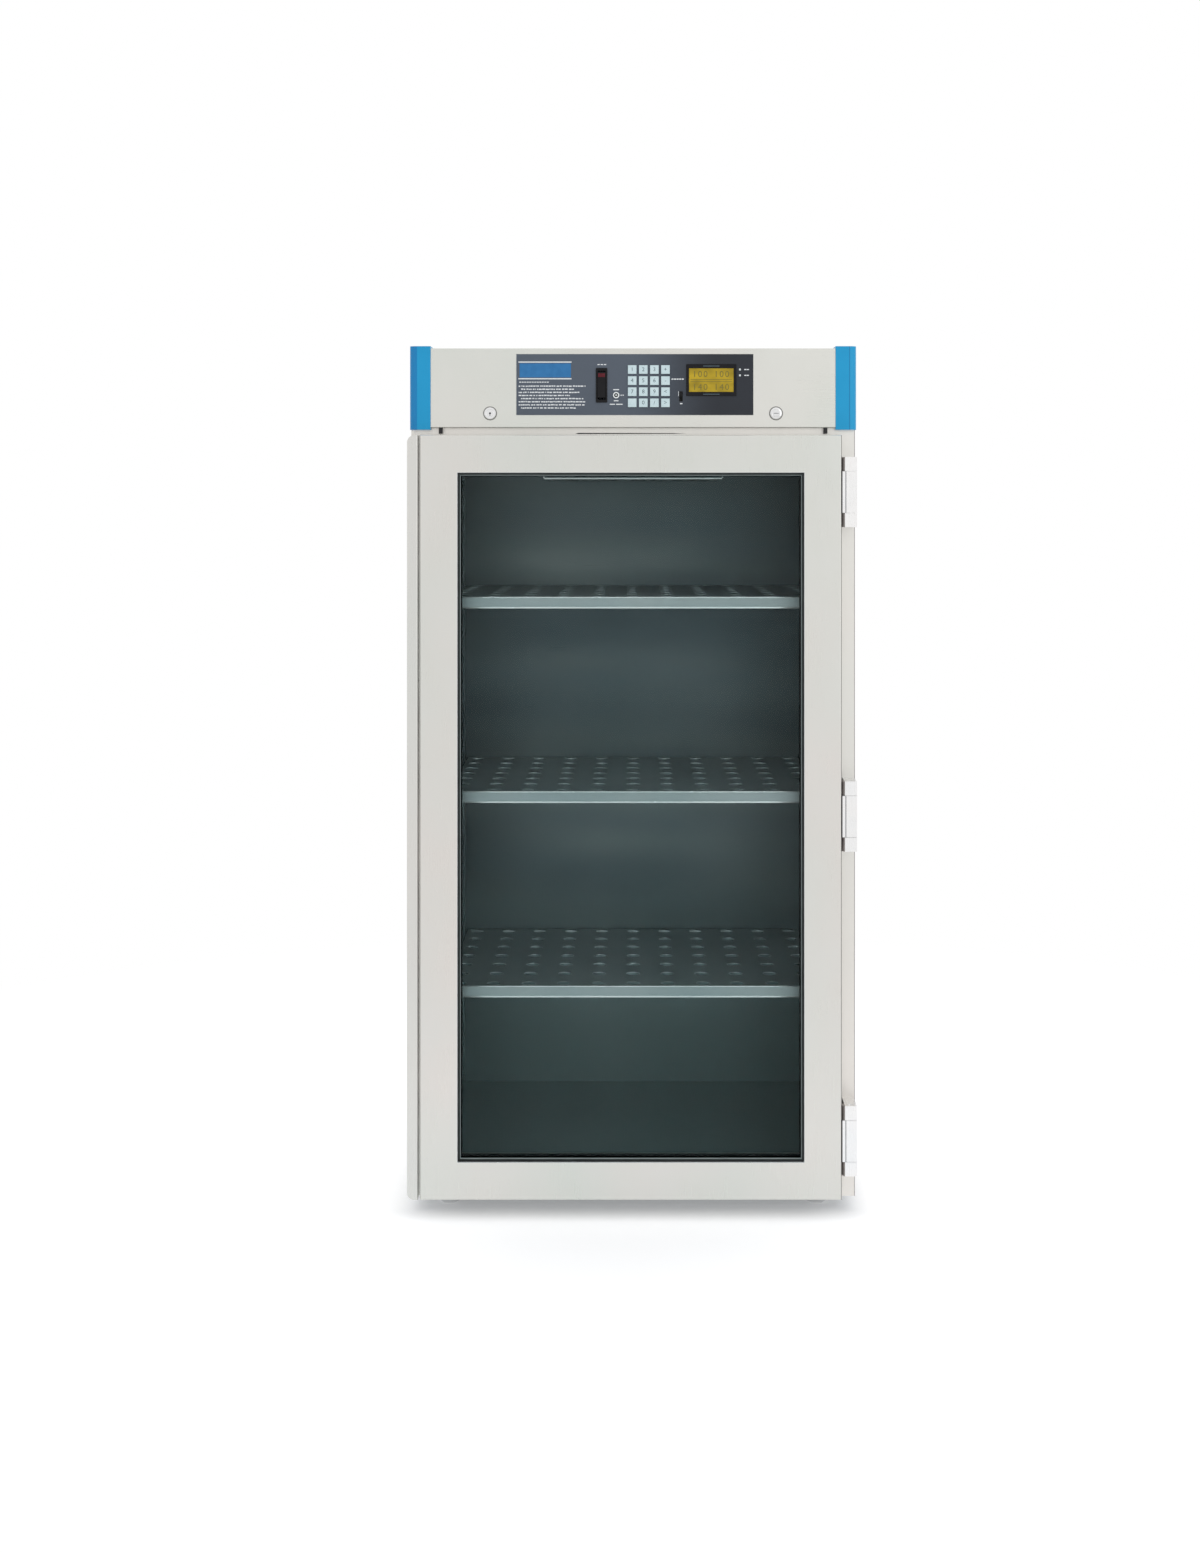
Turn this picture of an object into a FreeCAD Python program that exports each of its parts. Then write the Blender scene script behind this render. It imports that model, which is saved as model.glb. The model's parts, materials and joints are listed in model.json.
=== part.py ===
import FreeCAD, Part
import math
import os
from types import SimpleNamespace

import Sketcher

# Blanket warming cabinet with a glass door, three lift-out shelves and a control header.
# Millimetres, +Z up, X to the right of someone facing the door, the door towards -Y.
# The origin is on the floor, in the middle of the cabinet's width and depth.

DOC = FreeCAD.newDocument("WarmingCabinet")

SIZES = {
    # Cabinet body
    "body_width": 762,
    "body_depth": 615,
    "body_bottom": 26,
    "body_top": 1481.5,
    "sheet_gauge": 1.2,
    "face_gauge": 1.5,
    "deck_height": 1340,
    "lip_top": 1356,
    "side_return": 27,
    # Heated chamber
    "side_wall": 51,
    "rear_wall": 55,
    "chamber_floor": 82,
    "chamber_ceiling": 1290,
    # Shelves and what carries them
    "shelf_side_gap": 7,
    "shelf_rear_gap": 6,
    "shelf_setback": 24,
    "shelf_gauge": 1.5,
    "shelf_lip": 20,
    "shelf_side": 16,
    "shelf_hem": 10,
    "lowest_shelf": 382,
    "shelf_pitch": 336,
    "hole_radius": 12.3,
    "hole_pitch_across": 60.5,
    "hole_pitch_deep": 80,
    "hole_front_margin": 25,
    "pilaster_width": 20,
    "pilaster_depth": 5,
    "pilaster_end_gap": 30,
    "pilaster_setback": 70,
    "pilaster_spacing": 420,
    "slot_pitch": 112,
    "slot_height": 14,
    "slot_width": 6,
    "clip_reach": 14,
    "clip_width": 16,
    "clip_height": 22,
    "clip_gauge": 2,
    # Door
    "door_projection": 58,
    "door_left_inset": 20,
    "door_height": 1295,
    "door_bottom": 36.4,
    "door_border": 63,
    "door_thickness": 46,
    "door_gauge": 1.5,
    "door_edge_radius": 2.4,
    "bead_depth": 12,
    "bead_gauge": 2.5,
    "bead_width": 5,
    "pane_thickness": 6,
    "pane_gap": 12,
    "pane_overlap": 12,
    "spacer_show": 1.8,
    "bead_edge": 3,
    "seal_width": 14,
    "seal_inset": 6,
    "seal_foot": 3.5,
    "seal_gap": 0.3,
    "handle_width": 18.4,
    "handle_gap": 3.6,
    "handle_depth": 22,
    "handle_lip": 8,
    "handle_gauge": 2,
    "handle_corner": 13,
    # Hinges of the door
    "pin_inset": 12,
    "pin_to_door": 15.5,
    "pin_radius": 4,
    "knuckle_half": 10.2,
    "knuckle_front": 10,
    "hinge_length": 119,
    "hinge_end": 24,
    "hinge_gap": 0.4,
    "hinge_leaf_depth": 37,
    "hinge_plate": 3,
    "hinge_low": 136,
    "hinge_spacing": 549.5,
    "running_fit": 0.05,
    "press_fit": 0.02,
    # Control header
    "fascia_proud": 10,
    "cap_zone": 34.1,
    "fascia_bottom": 1345.5,
    "fascia_gauge": 1.5,
    "fascia_side": 16,
    "fascia_foot": 8,
    "barrel_radius": 3.2,
    "barrel_setback": 22,
    "barrel_drop": 3.5,
    "barrel_pin": 1.5,
    "barrel_inset": 26.9,
    "leaf_width": 18,
    "cap_proud": 2,
    "cap_width": 36,
    "cap_reach": 55,
    "cap_bottom": 1342,
    "cap_top": 1485,
    "cap_corner": 12,
    "bumper_width": 6,
    "bumper_inset": 16.9,
    # Controls, all placed from the middle of the keypad's row
    "overlay_left": 200,
    "overlay_right": 206,
    "overlay_low": 1367,
    "overlay_high": 1471.5,
    "overlay_gauge": 1.2,
    "window_left": 70,
    "window_right": 194,
    "window_low": 1376,
    "window_high": 1462,
    "control_height": 1416.5,
    "key_side": 14.6,
    "key_pitch": 19,
    "key_clearance": 0.3,
    "key_proud": 1.8,
    "key_flange": 1,
    "key_travel": 1.5,
    "keypad_place": 27,
    "display_place": 134,
    "display_lift": 10.4,
    "display_width": 85.7,
    "display_height": 54.6,
    "display_view_width": 77,
    "display_view_height": 41,
    "rocker_place": 54,
    "rocker_width": 19,
    "rocker_height": 58,
    "rocker_rim": 2.5,
    "rocker_lift": 1.5,
    "rocker_slope": 4.5,
    "button_place": 29,
    "button_drop": 15.5,
    "button_radius": 3.2,
    "button_ring": 4.6,
    "slide_place": 82,
    "slide_drop": 17.5,
    "slide_length": 17,
    "slide_width": 6,
    "slide_travel": 8,
    "lamp_place": 183,
    "lamp_lift": 28.5,
    "lamp_pitch": 10,
    "lamp_side": 3.2,
    "board_setback": 14,
    "board_gauge": 1.6,
    "lock_inset": 101.9,
    "lock_height": 1370,
    "lock_radius": 10,
    "lock_stem": 4,
    "lock_reach": 24,
    # Air system
    "baffle_width": 316,
    "baffle_setback": 120,
    "baffle_height": 32,
    "baffle_hole": 11,
    "baffle_pitch": 37.5,
    "intake_slot": 9,
    "intake_pitch": 18,
    "wheel_radius": 80,
    "wheel_height": 22,
    "wheel_gap": 4,
    "shaft_radius": 6,
    "stack_width": 84,
    "stack_depth": 70,
    "stack_height": 30,
    "motor_stand": 22,
    "strip_place": 118,
    "strip_length": 220,
    "strip_height": 22,
    "strip_gauge": 6,
    "tab_pitch": 160,
    "tab_width": 8,
    "tab_gauge": 2,
    "probe_place": 190,
    "probe_radius": 3,
    "probe_reach": 14,
    # Power, at the rear
    "inlet_inset": 131,
    "vent_length": 80,
    "vent_inset": 81,
    "vent_pitch": 240,
    "inlet_height": 1400,
    # Feet
    "foot_inset": 62,
    "foot_radius": 20,
    "foot_height": 16,
    "stud_radius": 5,
    "stud_reach": 40,
    "socket_radius": 10,
    "socket_height": 20,
}


class Size:
    """A length: its value now, and the expression that keeps it tied to the sheet."""

    def __init__(self, value, text):
        self.value = float(value)
        self.text = text

    @staticmethod
    def of(thing):
        return thing if isinstance(thing, Size) else Size(thing, f"({thing})")

    def _with(self, sign, other, value):
        return Size(value, f"({self.text} {sign} {other.text})")

    def __add__(self, other):
        other = Size.of(other)
        return self._with("+", other, self.value + other.value)

    def __sub__(self, other):
        other = Size.of(other)
        return self._with("-", other, self.value - other.value)

    def __mul__(self, other):
        other = Size.of(other)
        return self._with("*", other, self.value * other.value)

    def __truediv__(self, other):
        other = Size.of(other)
        return self._with("/", other, self.value / other.value)

    def __neg__(self):
        return Size(-self.value, f"(0 - {self.text})")

    __radd__ = __add__
    __rmul__ = __mul__

    def __rsub__(self, other):
        return Size.of(other) - self


def fill_sheet():
    """Write every driving size into the sheet under its own alias."""
    sheet = DOC.addObject("Spreadsheet::Sheet", "Sizes")
    for row, (alias, value) in enumerate(SIZES.items(), start=1):
        sheet.set(f"A{row}", alias)
        sheet.set(f"B{row}", str(value))
        sheet.setAlias(f"B{row}", alias)
    DOC.recompute()
    return SimpleNamespace(**{a: Size(v, f"Sizes.{a}") for a, v in SIZES.items()})


S = fill_sheet()

# Faces and lines that several pieces share
HALF = S.body_width / 2
INSIDE = HALF - S.sheet_gauge
FACE_Y = (S.door_projection - S.body_depth) / 2
BACK_Y = (S.door_projection + S.body_depth) / 2
DOOR_Y = FACE_Y - S.door_projection
FRAME_BACK = FACE_Y + S.face_gauge
PANEL_FRONT = BACK_Y - S.sheet_gauge
DECK_UNDER = S.deck_height - S.sheet_gauge
CHAMBER_HALF = HALF - S.side_wall
CHAMBER_BACK = BACK_Y - S.rear_wall
FASCIA_HALF = HALF - S.cap_zone
BARREL_HALF = FASCIA_HALF - S.barrel_inset
LOCK_X = FASCIA_HALF - S.lock_inset
BUMPER_X = FASCIA_HALF - S.bumper_inset
INLET_X = HALF - S.inlet_inset
HINGE_X = HALF - S.pin_inset
HINGE_Y = DOOR_Y + S.knuckle_front
DOOR_RIGHT = HINGE_X - S.pin_to_door
DOOR_LEFT = S.door_left_inset - HALF
DOOR_TOP = S.door_bottom + S.door_height
DOOR_BACK = DOOR_Y + S.door_thickness
FASCIA_Y = FACE_Y - S.fascia_proud
OVERLAY_Y = FASCIA_Y - S.overlay_gauge
BARREL_Y = FASCIA_Y + S.barrel_setback
BARREL_Z = S.body_top - S.barrel_drop
BOARD_Y = FASCIA_Y + S.board_setback
TOP_FRONT = BARREL_Y + S.barrel_radius + 0.7
BAFFLE_FRONT = FACE_Y + S.baffle_setback
FAN_Y = BAFFLE_FRONT + S.baffle_width / 2
WHEEL_TOP = S.chamber_ceiling - S.wheel_gap
WHEEL_LOW = WHEEL_TOP - S.wheel_height
SHELF_FRONT = FACE_Y + S.shelf_setback
PILASTER_FACE = CHAMBER_HALF - S.pilaster_depth
SOFT_GAP = S.seal_gap

RUN = {"XY": 1, "XZ": -1, "YZ": 1}
THROUGH = 1.0


# ---------------------------------------------------------------- drawing helpers

def bind(item, prop, size):
    item.setExpression(prop, Size.of(size).text)


def new_body(name):
    body = DOC.addObject("PartDesign::Body", name)
    body.Label = name
    return body


def new_sketch(body, name, plane, level):
    """A sketch on one of the body's own origin planes, moved to a level along its axis."""
    sketch = body.newObject("Sketcher::SketchObject", name)
    planes = {p.Role: p for p in body.Origin.OriginFeatures}
    sketch.AttachmentSupport = [(planes[f"{plane}_Plane"], "")]
    sketch.MapMode = "FlatFace"
    bind(sketch, "AttachmentOffset.Base.z", Size.of(level) * RUN[plane])
    return sketch


def draw_outline(sketch, points):
    """A closed outline of straight runs, each corner dimensioned from the origin."""
    points = [(Size.of(a), Size.of(b)) for a, b in points]
    first = sketch.GeometryCount
    count = len(points)
    corners = [FreeCAD.Vector(a.value, b.value, 0) for a, b in points]
    lines = [Part.LineSegment(corners[i], corners[(i + 1) % count]) for i in range(count)]
    sketch.addGeometry(lines)
    rules = []
    for i in range(count):
        rules.append(Sketcher.Constraint("Coincident", first + i, 2, first + (i + 1) % count, 1))
    for i, (a, b) in enumerate(points):
        rules.append(Sketcher.Constraint("DistanceX", -1, 1, first + i, 1, a.value))
        rules.append(Sketcher.Constraint("DistanceY", -1, 1, first + i, 1, b.value))
    numbers = sketch.addConstraint(rules)[count:]
    for i, (a, b) in enumerate(points):
        bind(sketch, f"Constraints[{numbers[2 * i]}]", a)
        bind(sketch, f"Constraints[{numbers[2 * i + 1]}]", b)


def draw_circle(sketch, across, up, radius):
    """A circle dimensioned by its centre and radius."""
    across, up, radius = Size.of(across), Size.of(up), Size.of(radius)
    centre = FreeCAD.Vector(across.value, up.value, 0)
    number = sketch.addGeometry(Part.Circle(centre, FreeCAD.Vector(0, 0, 1), radius.value))
    rules = [
        Sketcher.Constraint("DistanceX", -1, 1, number, 3, across.value),
        Sketcher.Constraint("DistanceY", -1, 1, number, 3, up.value),
        Sketcher.Constraint("Radius", number, radius.value),
    ]
    for rule, size in zip(sketch.addConstraint(rules), (across, up, radius)):
        bind(sketch, f"Constraints[{rule}]", size)


def draw(sketch, shapes):
    """Outlines are lists of points; circles are (across, up, radius) tuples."""
    for shape in shapes:
        if isinstance(shape, tuple):
            draw_circle(sketch, *shape)
        else:
            draw_outline(sketch, shape)


def rectangle(left, right, low, high):
    return [(left, low), (right, low), (right, high), (left, high)]


def square(across, up, side):
    return rectangle(across - side / 2, across + side / 2, up - side / 2, up + side / 2)


def polygon(across, up, radius, sides, turn=0.0):
    """A regular outline around a centre, its corners at a radius."""
    angles = [2 * math.pi * (number + turn) / sides for number in range(sides)]
    return [(across + radius * math.cos(angle), up + radius * math.sin(angle))
            for angle in angles]


def pad(body, name, plane, start, end, *shapes):
    """Add material between two levels of a plane; start is the lower one."""
    sketch = new_sketch(body, f"{name}_sketch", plane, start)
    draw(sketch, shapes)
    feature = body.newObject("PartDesign::Pad", name)
    feature.Profile = sketch
    feature.Reversed = RUN[plane] < 0
    bind(feature, "Length", Size.of(end) - start)
    DOC.recompute()
    return feature


def pocket(body, name, plane, start, end, *shapes):
    """Cut between two levels of a plane, and make sure that the cut took something."""
    before = body.Shape.Volume
    sketch = new_sketch(body, f"{name}_sketch", plane, start)
    draw(sketch, shapes)
    feature = body.newObject("PartDesign::Pocket", name)
    feature.Profile = sketch
    feature.Reversed = RUN[plane] > 0
    bind(feature, "Length", Size.of(end) - start)
    DOC.recompute()
    if body.Shape.Volume > before - 0.01:
        raise RuntimeError(f"{name} cut nothing from {body.Label}")
    return feature


def edges_like(shape, direction, *tests):
    """Names of the straight edges along a direction whose middle passes every test."""
    names = []
    for number, edge in enumerate(shape.Edges, start=1):
        if len(edge.Vertexes) < 2 or edge.Curve.TypeId != "Part::GeomLine":
            continue
        run = (edge.Vertexes[1].Point - edge.Vertexes[0].Point).normalize()
        if abs(abs(run.dot(direction)) - 1) > 1e-6:
            continue
        if all(test(edge.CenterOfMass) for test in tests):
            names.append(f"Edge{number}")
    return names


def near(axis, size, slack=0.01):
    """A test that a point's coordinate is at a size."""
    target = Size.of(size).value
    return lambda point: abs(getattr(point, axis) - target) < slack


def far_from_middle(axis, size, slack=0.01):
    target = abs(Size.of(size).value)
    return lambda point: abs(abs(getattr(point, axis)) - target) < slack


ALONG_X = FreeCAD.Vector(1, 0, 0)
ALONG_Y = FreeCAD.Vector(0, 1, 0)
ALONG_Z = FreeCAD.Vector(0, 0, 1)


def fillet(body, name, edges, radius, kind="Fillet"):
    """Round or chamfer the named edges of the body's present tip."""
    base = body.Tip
    feature = body.newObject(f"PartDesign::{kind}", name)
    feature.Base = (base, edges)
    bind(feature, "Radius" if kind == "Fillet" else "Size", radius)
    body.Tip = feature
    DOC.recompute()
    return feature


def repeat(body, name, original, role, step, count):
    """Repeat a feature in a row along one of the body's origin axes."""
    axes = {a.Role: a for a in body.Origin.OriginFeatures}
    feature = body.newObject("PartDesign::LinearPattern", name)
    feature.Originals = [original]
    feature.Direction = (axes[role], [""])
    feature.Occurrences = count
    bind(feature, "Length", Size.of(step) * (count - 1))
    body.Tip = feature
    DOC.recompute()
    return feature


def block(name, x, y, z):
    """A box between two corners, each given as (low, high)."""
    item = DOC.addObject("Part::Box", name)
    item.Label = name
    for axis, side, (low, high) in (("x", "Length", x), ("y", "Width", y), ("z", "Height", z)):
        bind(item, side, Size.of(high) - low)
        bind(item, f"Placement.Base.{axis}", low)
    return item


def rod(name, axis, centre, span, radius):
    """A cylinder along an axis: centre is its place on the other two axes."""
    item = DOC.addObject("Part::Cylinder", name)
    item.Label = name
    turns = {"x": FreeCAD.Rotation(ALONG_Y, 90), "y": FreeCAD.Rotation(ALONG_X, -90),
             "z": FreeCAD.Rotation()}
    item.Placement = FreeCAD.Placement(FreeCAD.Vector(), turns[axis])
    places = dict(zip([a for a in "xyz" if a != axis], centre))
    places[axis] = span[0]
    for letter, place in places.items():
        bind(item, f"Placement.Base.{letter}", place)
    bind(item, "Radius", radius)
    bind(item, "Height", Size.of(span[1]) - span[0])
    return item


def fuse(name, items):
    item = DOC.addObject("Part::MultiFuse", name)
    item.Shapes = list(items)
    item.Refine = True
    item.Label = name
    DOC.recompute()
    return item


def cut(name, base, tools):
    """Take tools away from base; several tools are joined first."""
    tools = list(tools)
    item = DOC.addObject("Part::Cut", name)
    item.Base = base
    item.Tool = tools[0] if len(tools) == 1 else fuse(f"{name}_tools", tools)
    item.Refine = True
    item.Label = name
    DOC.recompute()
    return item


def group(name, items):
    """Like pieces that share one node, each a solid of its own."""
    item = DOC.addObject("Part::Compound", name)
    item.Links = list(items)
    item.Label = name
    DOC.recompute()
    return item


# ---------------------------------------------------------------- cabinet body

def foot_places():
    for across in (-1, 1):
        for y in (FACE_Y + S.foot_inset, BACK_Y - S.foot_inset):
            yield (HALF - S.foot_inset) * across, y


def shaft_hole(extra):
    return Size.of(0), FAN_Y, S.shaft_radius + 2 + extra


def service_slots(extra):
    """Where the heater terminals and the probe pass through the deck and the ceiling."""
    clear = SOFT_GAP + extra
    half, reach = S.tab_gauge / 2 + clear, S.tab_pitch / 2 + S.tab_width / 2 + clear
    slots = [rectangle(S.strip_place * side - half, S.strip_place * side + half,
                       FAN_Y - reach, FAN_Y + reach) for side in (-1, 1)]
    slots.append(square(S.probe_place, FAN_Y, (S.probe_radius + clear) * 2))
    return slots


def make_outer_wrap():
    """Sides and top bent from one sheet, with the header deck and front returns welded in."""
    body = new_body("outer_wrap")
    under = S.body_top - S.sheet_gauge
    pad(body, "arch", "XZ", FACE_Y, BACK_Y, [
        (-HALF, S.body_bottom), (-INSIDE, S.body_bottom), (-INSIDE, under), (INSIDE, under),
        (INSIDE, S.body_bottom), (HALF, S.body_bottom), (HALF, S.body_top), (-HALF, S.body_top)])
    fillet(body, "top_bends", edges_like(body.Shape, ALONG_Y, far_from_middle("x", HALF),
                                         near("z", S.body_top)), S.sheet_gauge * 2)
    fillet(body, "inner_bends", edges_like(body.Shape, ALONG_Y, far_from_middle("x", INSIDE),
                                           near("z", under)), S.sheet_gauge)
    pad(body, "deck", "XZ", FRAME_BACK, PANEL_FRONT,
        rectangle(-INSIDE, INSIDE, DECK_UNDER, S.deck_height))
    inner = HALF - S.side_return
    pad(body, "returns", "XZ", FACE_Y, FACE_Y + S.sheet_gauge,
        rectangle(-INSIDE, -inner, S.lip_top, under - S.sheet_gauge),
        rectangle(inner, INSIDE, S.lip_top, under - S.sheet_gauge))
    open_half = FASCIA_HALF + 1
    pocket(body, "fascia_swing", "XY", under - THROUGH, S.body_top + THROUGH,
           rectangle(-open_half, open_half, FACE_Y - THROUGH, TOP_FRONT))
    pocket(body, "deck_openings", "XY", DECK_UNDER - THROUGH, S.deck_height + THROUGH,
           shaft_hole(0), *service_slots(0))
    return body


def make_back_panel():
    """Rear sheet with two banks of vent slots and the cut-out for the mains inlet."""
    body = new_body("back_panel")
    pad(body, "sheet", "XZ", PANEL_FRONT, BACK_Y,
        rectangle(-INSIDE, INSIDE, S.body_bottom, S.body_top - S.sheet_gauge * 3))
    slot = pocket(body, "vent_slot", "XZ", PANEL_FRONT - THROUGH, BACK_Y + THROUGH,
                  *[rectangle(start, start + S.vent_length, S.deck_height + 30, S.deck_height + 36)
                    for start in (S.vent_inset - HALF, S.vent_inset + S.vent_pitch - HALF)])
    repeat(body, "vent_rows", slot, "Z_Axis", Size.of(16), 5)
    pocket(body, "inlet_hole", "XZ", PANEL_FRONT - THROUGH, BACK_Y + THROUGH,
           inlet_outline(SOFT_GAP))
    return body


def make_base_pan():
    """Bottom sheet with a long nut welded into it for each levelling foot."""
    body = new_body("base_pan")
    pad(body, "sheet", "XY", S.body_bottom, S.body_bottom + S.sheet_gauge,
        rectangle(-INSIDE, INSIDE, FRAME_BACK, PANEL_FRONT))
    top = S.body_bottom + S.socket_height
    pad(body, "sockets", "XY", S.body_bottom, top,
        *[polygon(x, y, S.socket_radius, 6) for x, y in foot_places()])
    pocket(body, "threads", "XY", S.body_bottom - THROUGH, top + THROUGH,
           *[(x, y, S.stud_radius + S.running_fit) for x, y in foot_places()])
    return body


def make_face_frame():
    """Ring around the chamber's mouth; its upstand is what the fascia locks behind."""
    body = new_body("face_frame")
    pad(body, "ring", "XZ", FACE_Y, FRAME_BACK,
        rectangle(-INSIDE, INSIDE, S.body_bottom, S.lip_top),
        rectangle(-CHAMBER_HALF, CHAMBER_HALF, S.chamber_floor, S.chamber_ceiling))
    return body


def make_chamber_liner():
    """Five flat sheets, seam welded into a box that is open at the face frame."""
    wall = S.sheet_gauge
    outer = CHAMBER_HALF + wall
    floor, ceiling = S.chamber_floor, S.chamber_ceiling
    deep = (FRAME_BACK, CHAMBER_BACK)
    sheets = [block("liner_floor", (-outer, outer), deep, (floor - wall, floor)),
              block("liner_left", (-outer, -CHAMBER_HALF), deep, (floor, ceiling)),
              block("liner_right", (CHAMBER_HALF, outer), deep, (floor, ceiling)),
              block("liner_back", (-outer, outer), (CHAMBER_BACK, CHAMBER_BACK + wall),
                    (floor - wall, ceiling + wall))]
    top = new_body("liner_ceiling")
    pad(top, "sheet", "XY", ceiling, ceiling + wall, rectangle(-outer, outer, *deep))
    pocket(top, "openings", "XY", ceiling - THROUGH, ceiling + wall + THROUGH,
           shaft_hole(0), *service_slots(0))
    return group("chamber_liner", [*sheets, top])


def make_wall_insulation():
    """Mineral wool between liner and outer sheets, with the cavities that pieces pass through."""
    body = new_body("wall_insulation")
    wall = S.sheet_gauge
    low = S.body_bottom + wall
    pad(body, "wool", "XZ", FRAME_BACK, PANEL_FRONT, rectangle(-INSIDE, INSIDE, low, DECK_UNDER))
    pocket(body, "chamber_space", "XZ", FRAME_BACK - THROUGH, CHAMBER_BACK + wall,
           rectangle(-CHAMBER_HALF - wall, CHAMBER_HALF + wall,
                     S.chamber_floor - wall, S.chamber_ceiling + wall))
    pocket(body, "service_ducts", "XY", S.chamber_ceiling, S.deck_height,
           square(Size.of(0), FAN_Y, S.shaft_radius * 4), *service_slots(3))
    pocket(body, "nut_spaces", "XY", low - THROUGH, S.body_bottom + S.socket_height + 1,
           *[square(x, y, (S.socket_radius + SOFT_GAP) * 2) for x, y in foot_places()])
    return body


def make_cap(name, side):
    """Moulded corner cover: it wraps the header's corner and is hollow in front of it."""
    body = new_body(name)
    wall = S.cap_proud
    front = FASCIA_Y - wall
    rear = front + S.cap_reach
    out_x, body_x = (HALF + wall) * side, HALF * side
    in_x = out_x - S.cap_width * side
    pad(body, "block", "XY", S.cap_bottom, S.cap_top, rectangle(in_x, out_x, front, rear))
    pocket(body, "cabinet_space", "XY", S.cap_bottom - THROUGH, S.body_top,
           rectangle(in_x - THROUGH * side, body_x, FACE_Y, rear + THROUGH))
    pocket(body, "hollow", "XY", S.cap_bottom + wall, S.body_top,
           rectangle(in_x + wall * side, body_x, front + wall, FACE_Y + THROUGH))
    fillet(body, "inner_round", edges_like(body.Shape, ALONG_Z, near("x", body_x),
                                           near("y", front + wall)), S.cap_corner - wall)
    fillet(body, "outer_round", edges_like(body.Shape, ALONG_Z, near("x", out_x),
                                           near("y", front)), S.cap_corner)
    for number, height in enumerate((S.lip_top + 12, S.body_top - 20)):
        pad(body, f"boss_{number}", "XZ", front + wall / 2, FACE_Y,
            square(in_x + S.cap_width / 2 * side, height, Size.of(9)))
    return body


def make_feet():
    """Levelling feet: a hexagonal foot to turn by hand or spanner, on a threaded stud."""
    feet = []
    for number, (x, y) in enumerate(foot_places()):
        body = new_body(f"levelling_foot_{number + 1}")
        pad(body, "foot", "XY", Size.of(0), S.foot_height, polygon(x, y, S.foot_radius, 6))
        low = near("z", 0)
        edges = [f"Edge{n}" for n, edge in enumerate(body.Shape.Edges, start=1)
                 if low(edge.CenterOfMass)]
        fillet(body, "sole_bevel", edges, Size.of(2), "Chamfer")
        pad(body, "stud", "XY", S.foot_height, S.stud_reach, (x, y, S.stud_radius))
        feet.append(body)
    return feet


# ---------------------------------------------------------------- shelves

def shelf_levels():
    for name, number in (("lower", 0), ("middle", 1), ("upper", 2)):
        yield name, S.lowest_shelf + S.shelf_pitch * number


def make_shelf(name, top):
    """Perforated sheet with a deep front lip, hemmed sides and a rear upstand."""
    body = new_body(f"shelf_{name}")
    half = CHAMBER_HALF - S.shelf_side_gap
    gauge = S.shelf_gauge
    rear = CHAMBER_BACK - S.shelf_rear_gap
    foot = top - S.shelf_side
    pad(body, "tray", "XZ", SHELF_FRONT, rear, [
        (-half, top), (-half, foot), (-half + S.shelf_hem, foot),
        (-half + S.shelf_hem, foot + gauge), (-half + gauge, foot + gauge),
        (-half + gauge, top - gauge), (half - gauge, top - gauge), (half - gauge, foot + gauge),
        (half - S.shelf_hem, foot + gauge), (half - S.shelf_hem, foot), (half, foot),
        (half, top)])
    low = top - S.shelf_lip
    pad(body, "front_lip", "YZ", -half, half, [
        (SHELF_FRONT, top), (SHELF_FRONT, low), (SHELF_FRONT + S.shelf_hem, low),
        (SHELF_FRONT + S.shelf_hem, low + gauge), (SHELF_FRONT + gauge, low + gauge),
        (SHELF_FRONT + gauge, top - gauge), (SHELF_FRONT + S.shelf_hem, top - gauge),
        (SHELF_FRONT + S.shelf_hem, top)])
    pad(body, "rear_lip", "YZ", -half, half,
        [(rear - gauge, foot), (rear, foot), (rear, top), (rear - gauge, top)])
    front_edges = edges_like(body.Shape, ALONG_X, near("y", SHELF_FRONT))
    fillet(body, "lip_bends", front_edges, gauge * 0.9)
    first = SHELF_FRONT + S.hole_front_margin
    rim = S.hole_radius + S.shelf_hem * 0.8
    columns = int((half - rim).value // S.hole_pitch_across.value) * 2 + 1
    rows = int((rear - first - rim).value // S.hole_pitch_deep.value) + 1
    holes = [polygon(S.hole_pitch_across * (column - columns // 2), first, S.hole_radius, 8, 0.5)
             for column in range(columns)]
    row = pocket(body, "hole_row", "XY", top - gauge - THROUGH, top + THROUGH, *holes)
    repeat(body, "perforation", row, "Y_Axis", S.hole_pitch_deep, rows)
    return body


def make_pilaster(name, side, y):
    """Slotted channel that the shelf clips hook into."""
    body = new_body(name)
    gauge = S.sheet_gauge
    face = PILASTER_FACE * side
    wall = CHAMBER_HALF * side
    low = S.chamber_floor + S.pilaster_end_gap
    high = S.chamber_ceiling - S.pilaster_end_gap
    step = gauge * side
    pad(body, "channel", "XY", low, high, [
        (wall, y), (face, y), (face, y + S.pilaster_width), (wall, y + S.pilaster_width),
        (wall, y + S.pilaster_width - gauge), (face + step, y + S.pilaster_width - gauge),
        (face + step, y + gauge), (wall, y + gauge)])
    middle = y + S.pilaster_width / 2
    first = slot_base()
    ends = sorted((face - step, face + step * 2), key=lambda size: size.value)
    slot = pocket(body, "slot", "YZ", *ends,
                  rectangle(middle - S.slot_width / 2, middle + S.slot_width / 2,
                            first, first + S.slot_height))
    rows = int((high - first - S.slot_height * 2).value // S.slot_pitch.value) + 1
    repeat(body, "slots", slot, "Z_Axis", S.slot_pitch, rows)
    return body


def slot_base():
    """Foot of the lowest slot, in step with the clips of the lowest shelf."""
    clip_foot = S.lowest_shelf - S.shelf_side - S.clip_height
    below = 2
    return clip_foot - S.slot_pitch * below + 3


def pilaster_places():
    first = FACE_Y + S.pilaster_setback
    for side in (-1, 1):
        for y in (first, first + S.pilaster_spacing):
            yield side, y


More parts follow.
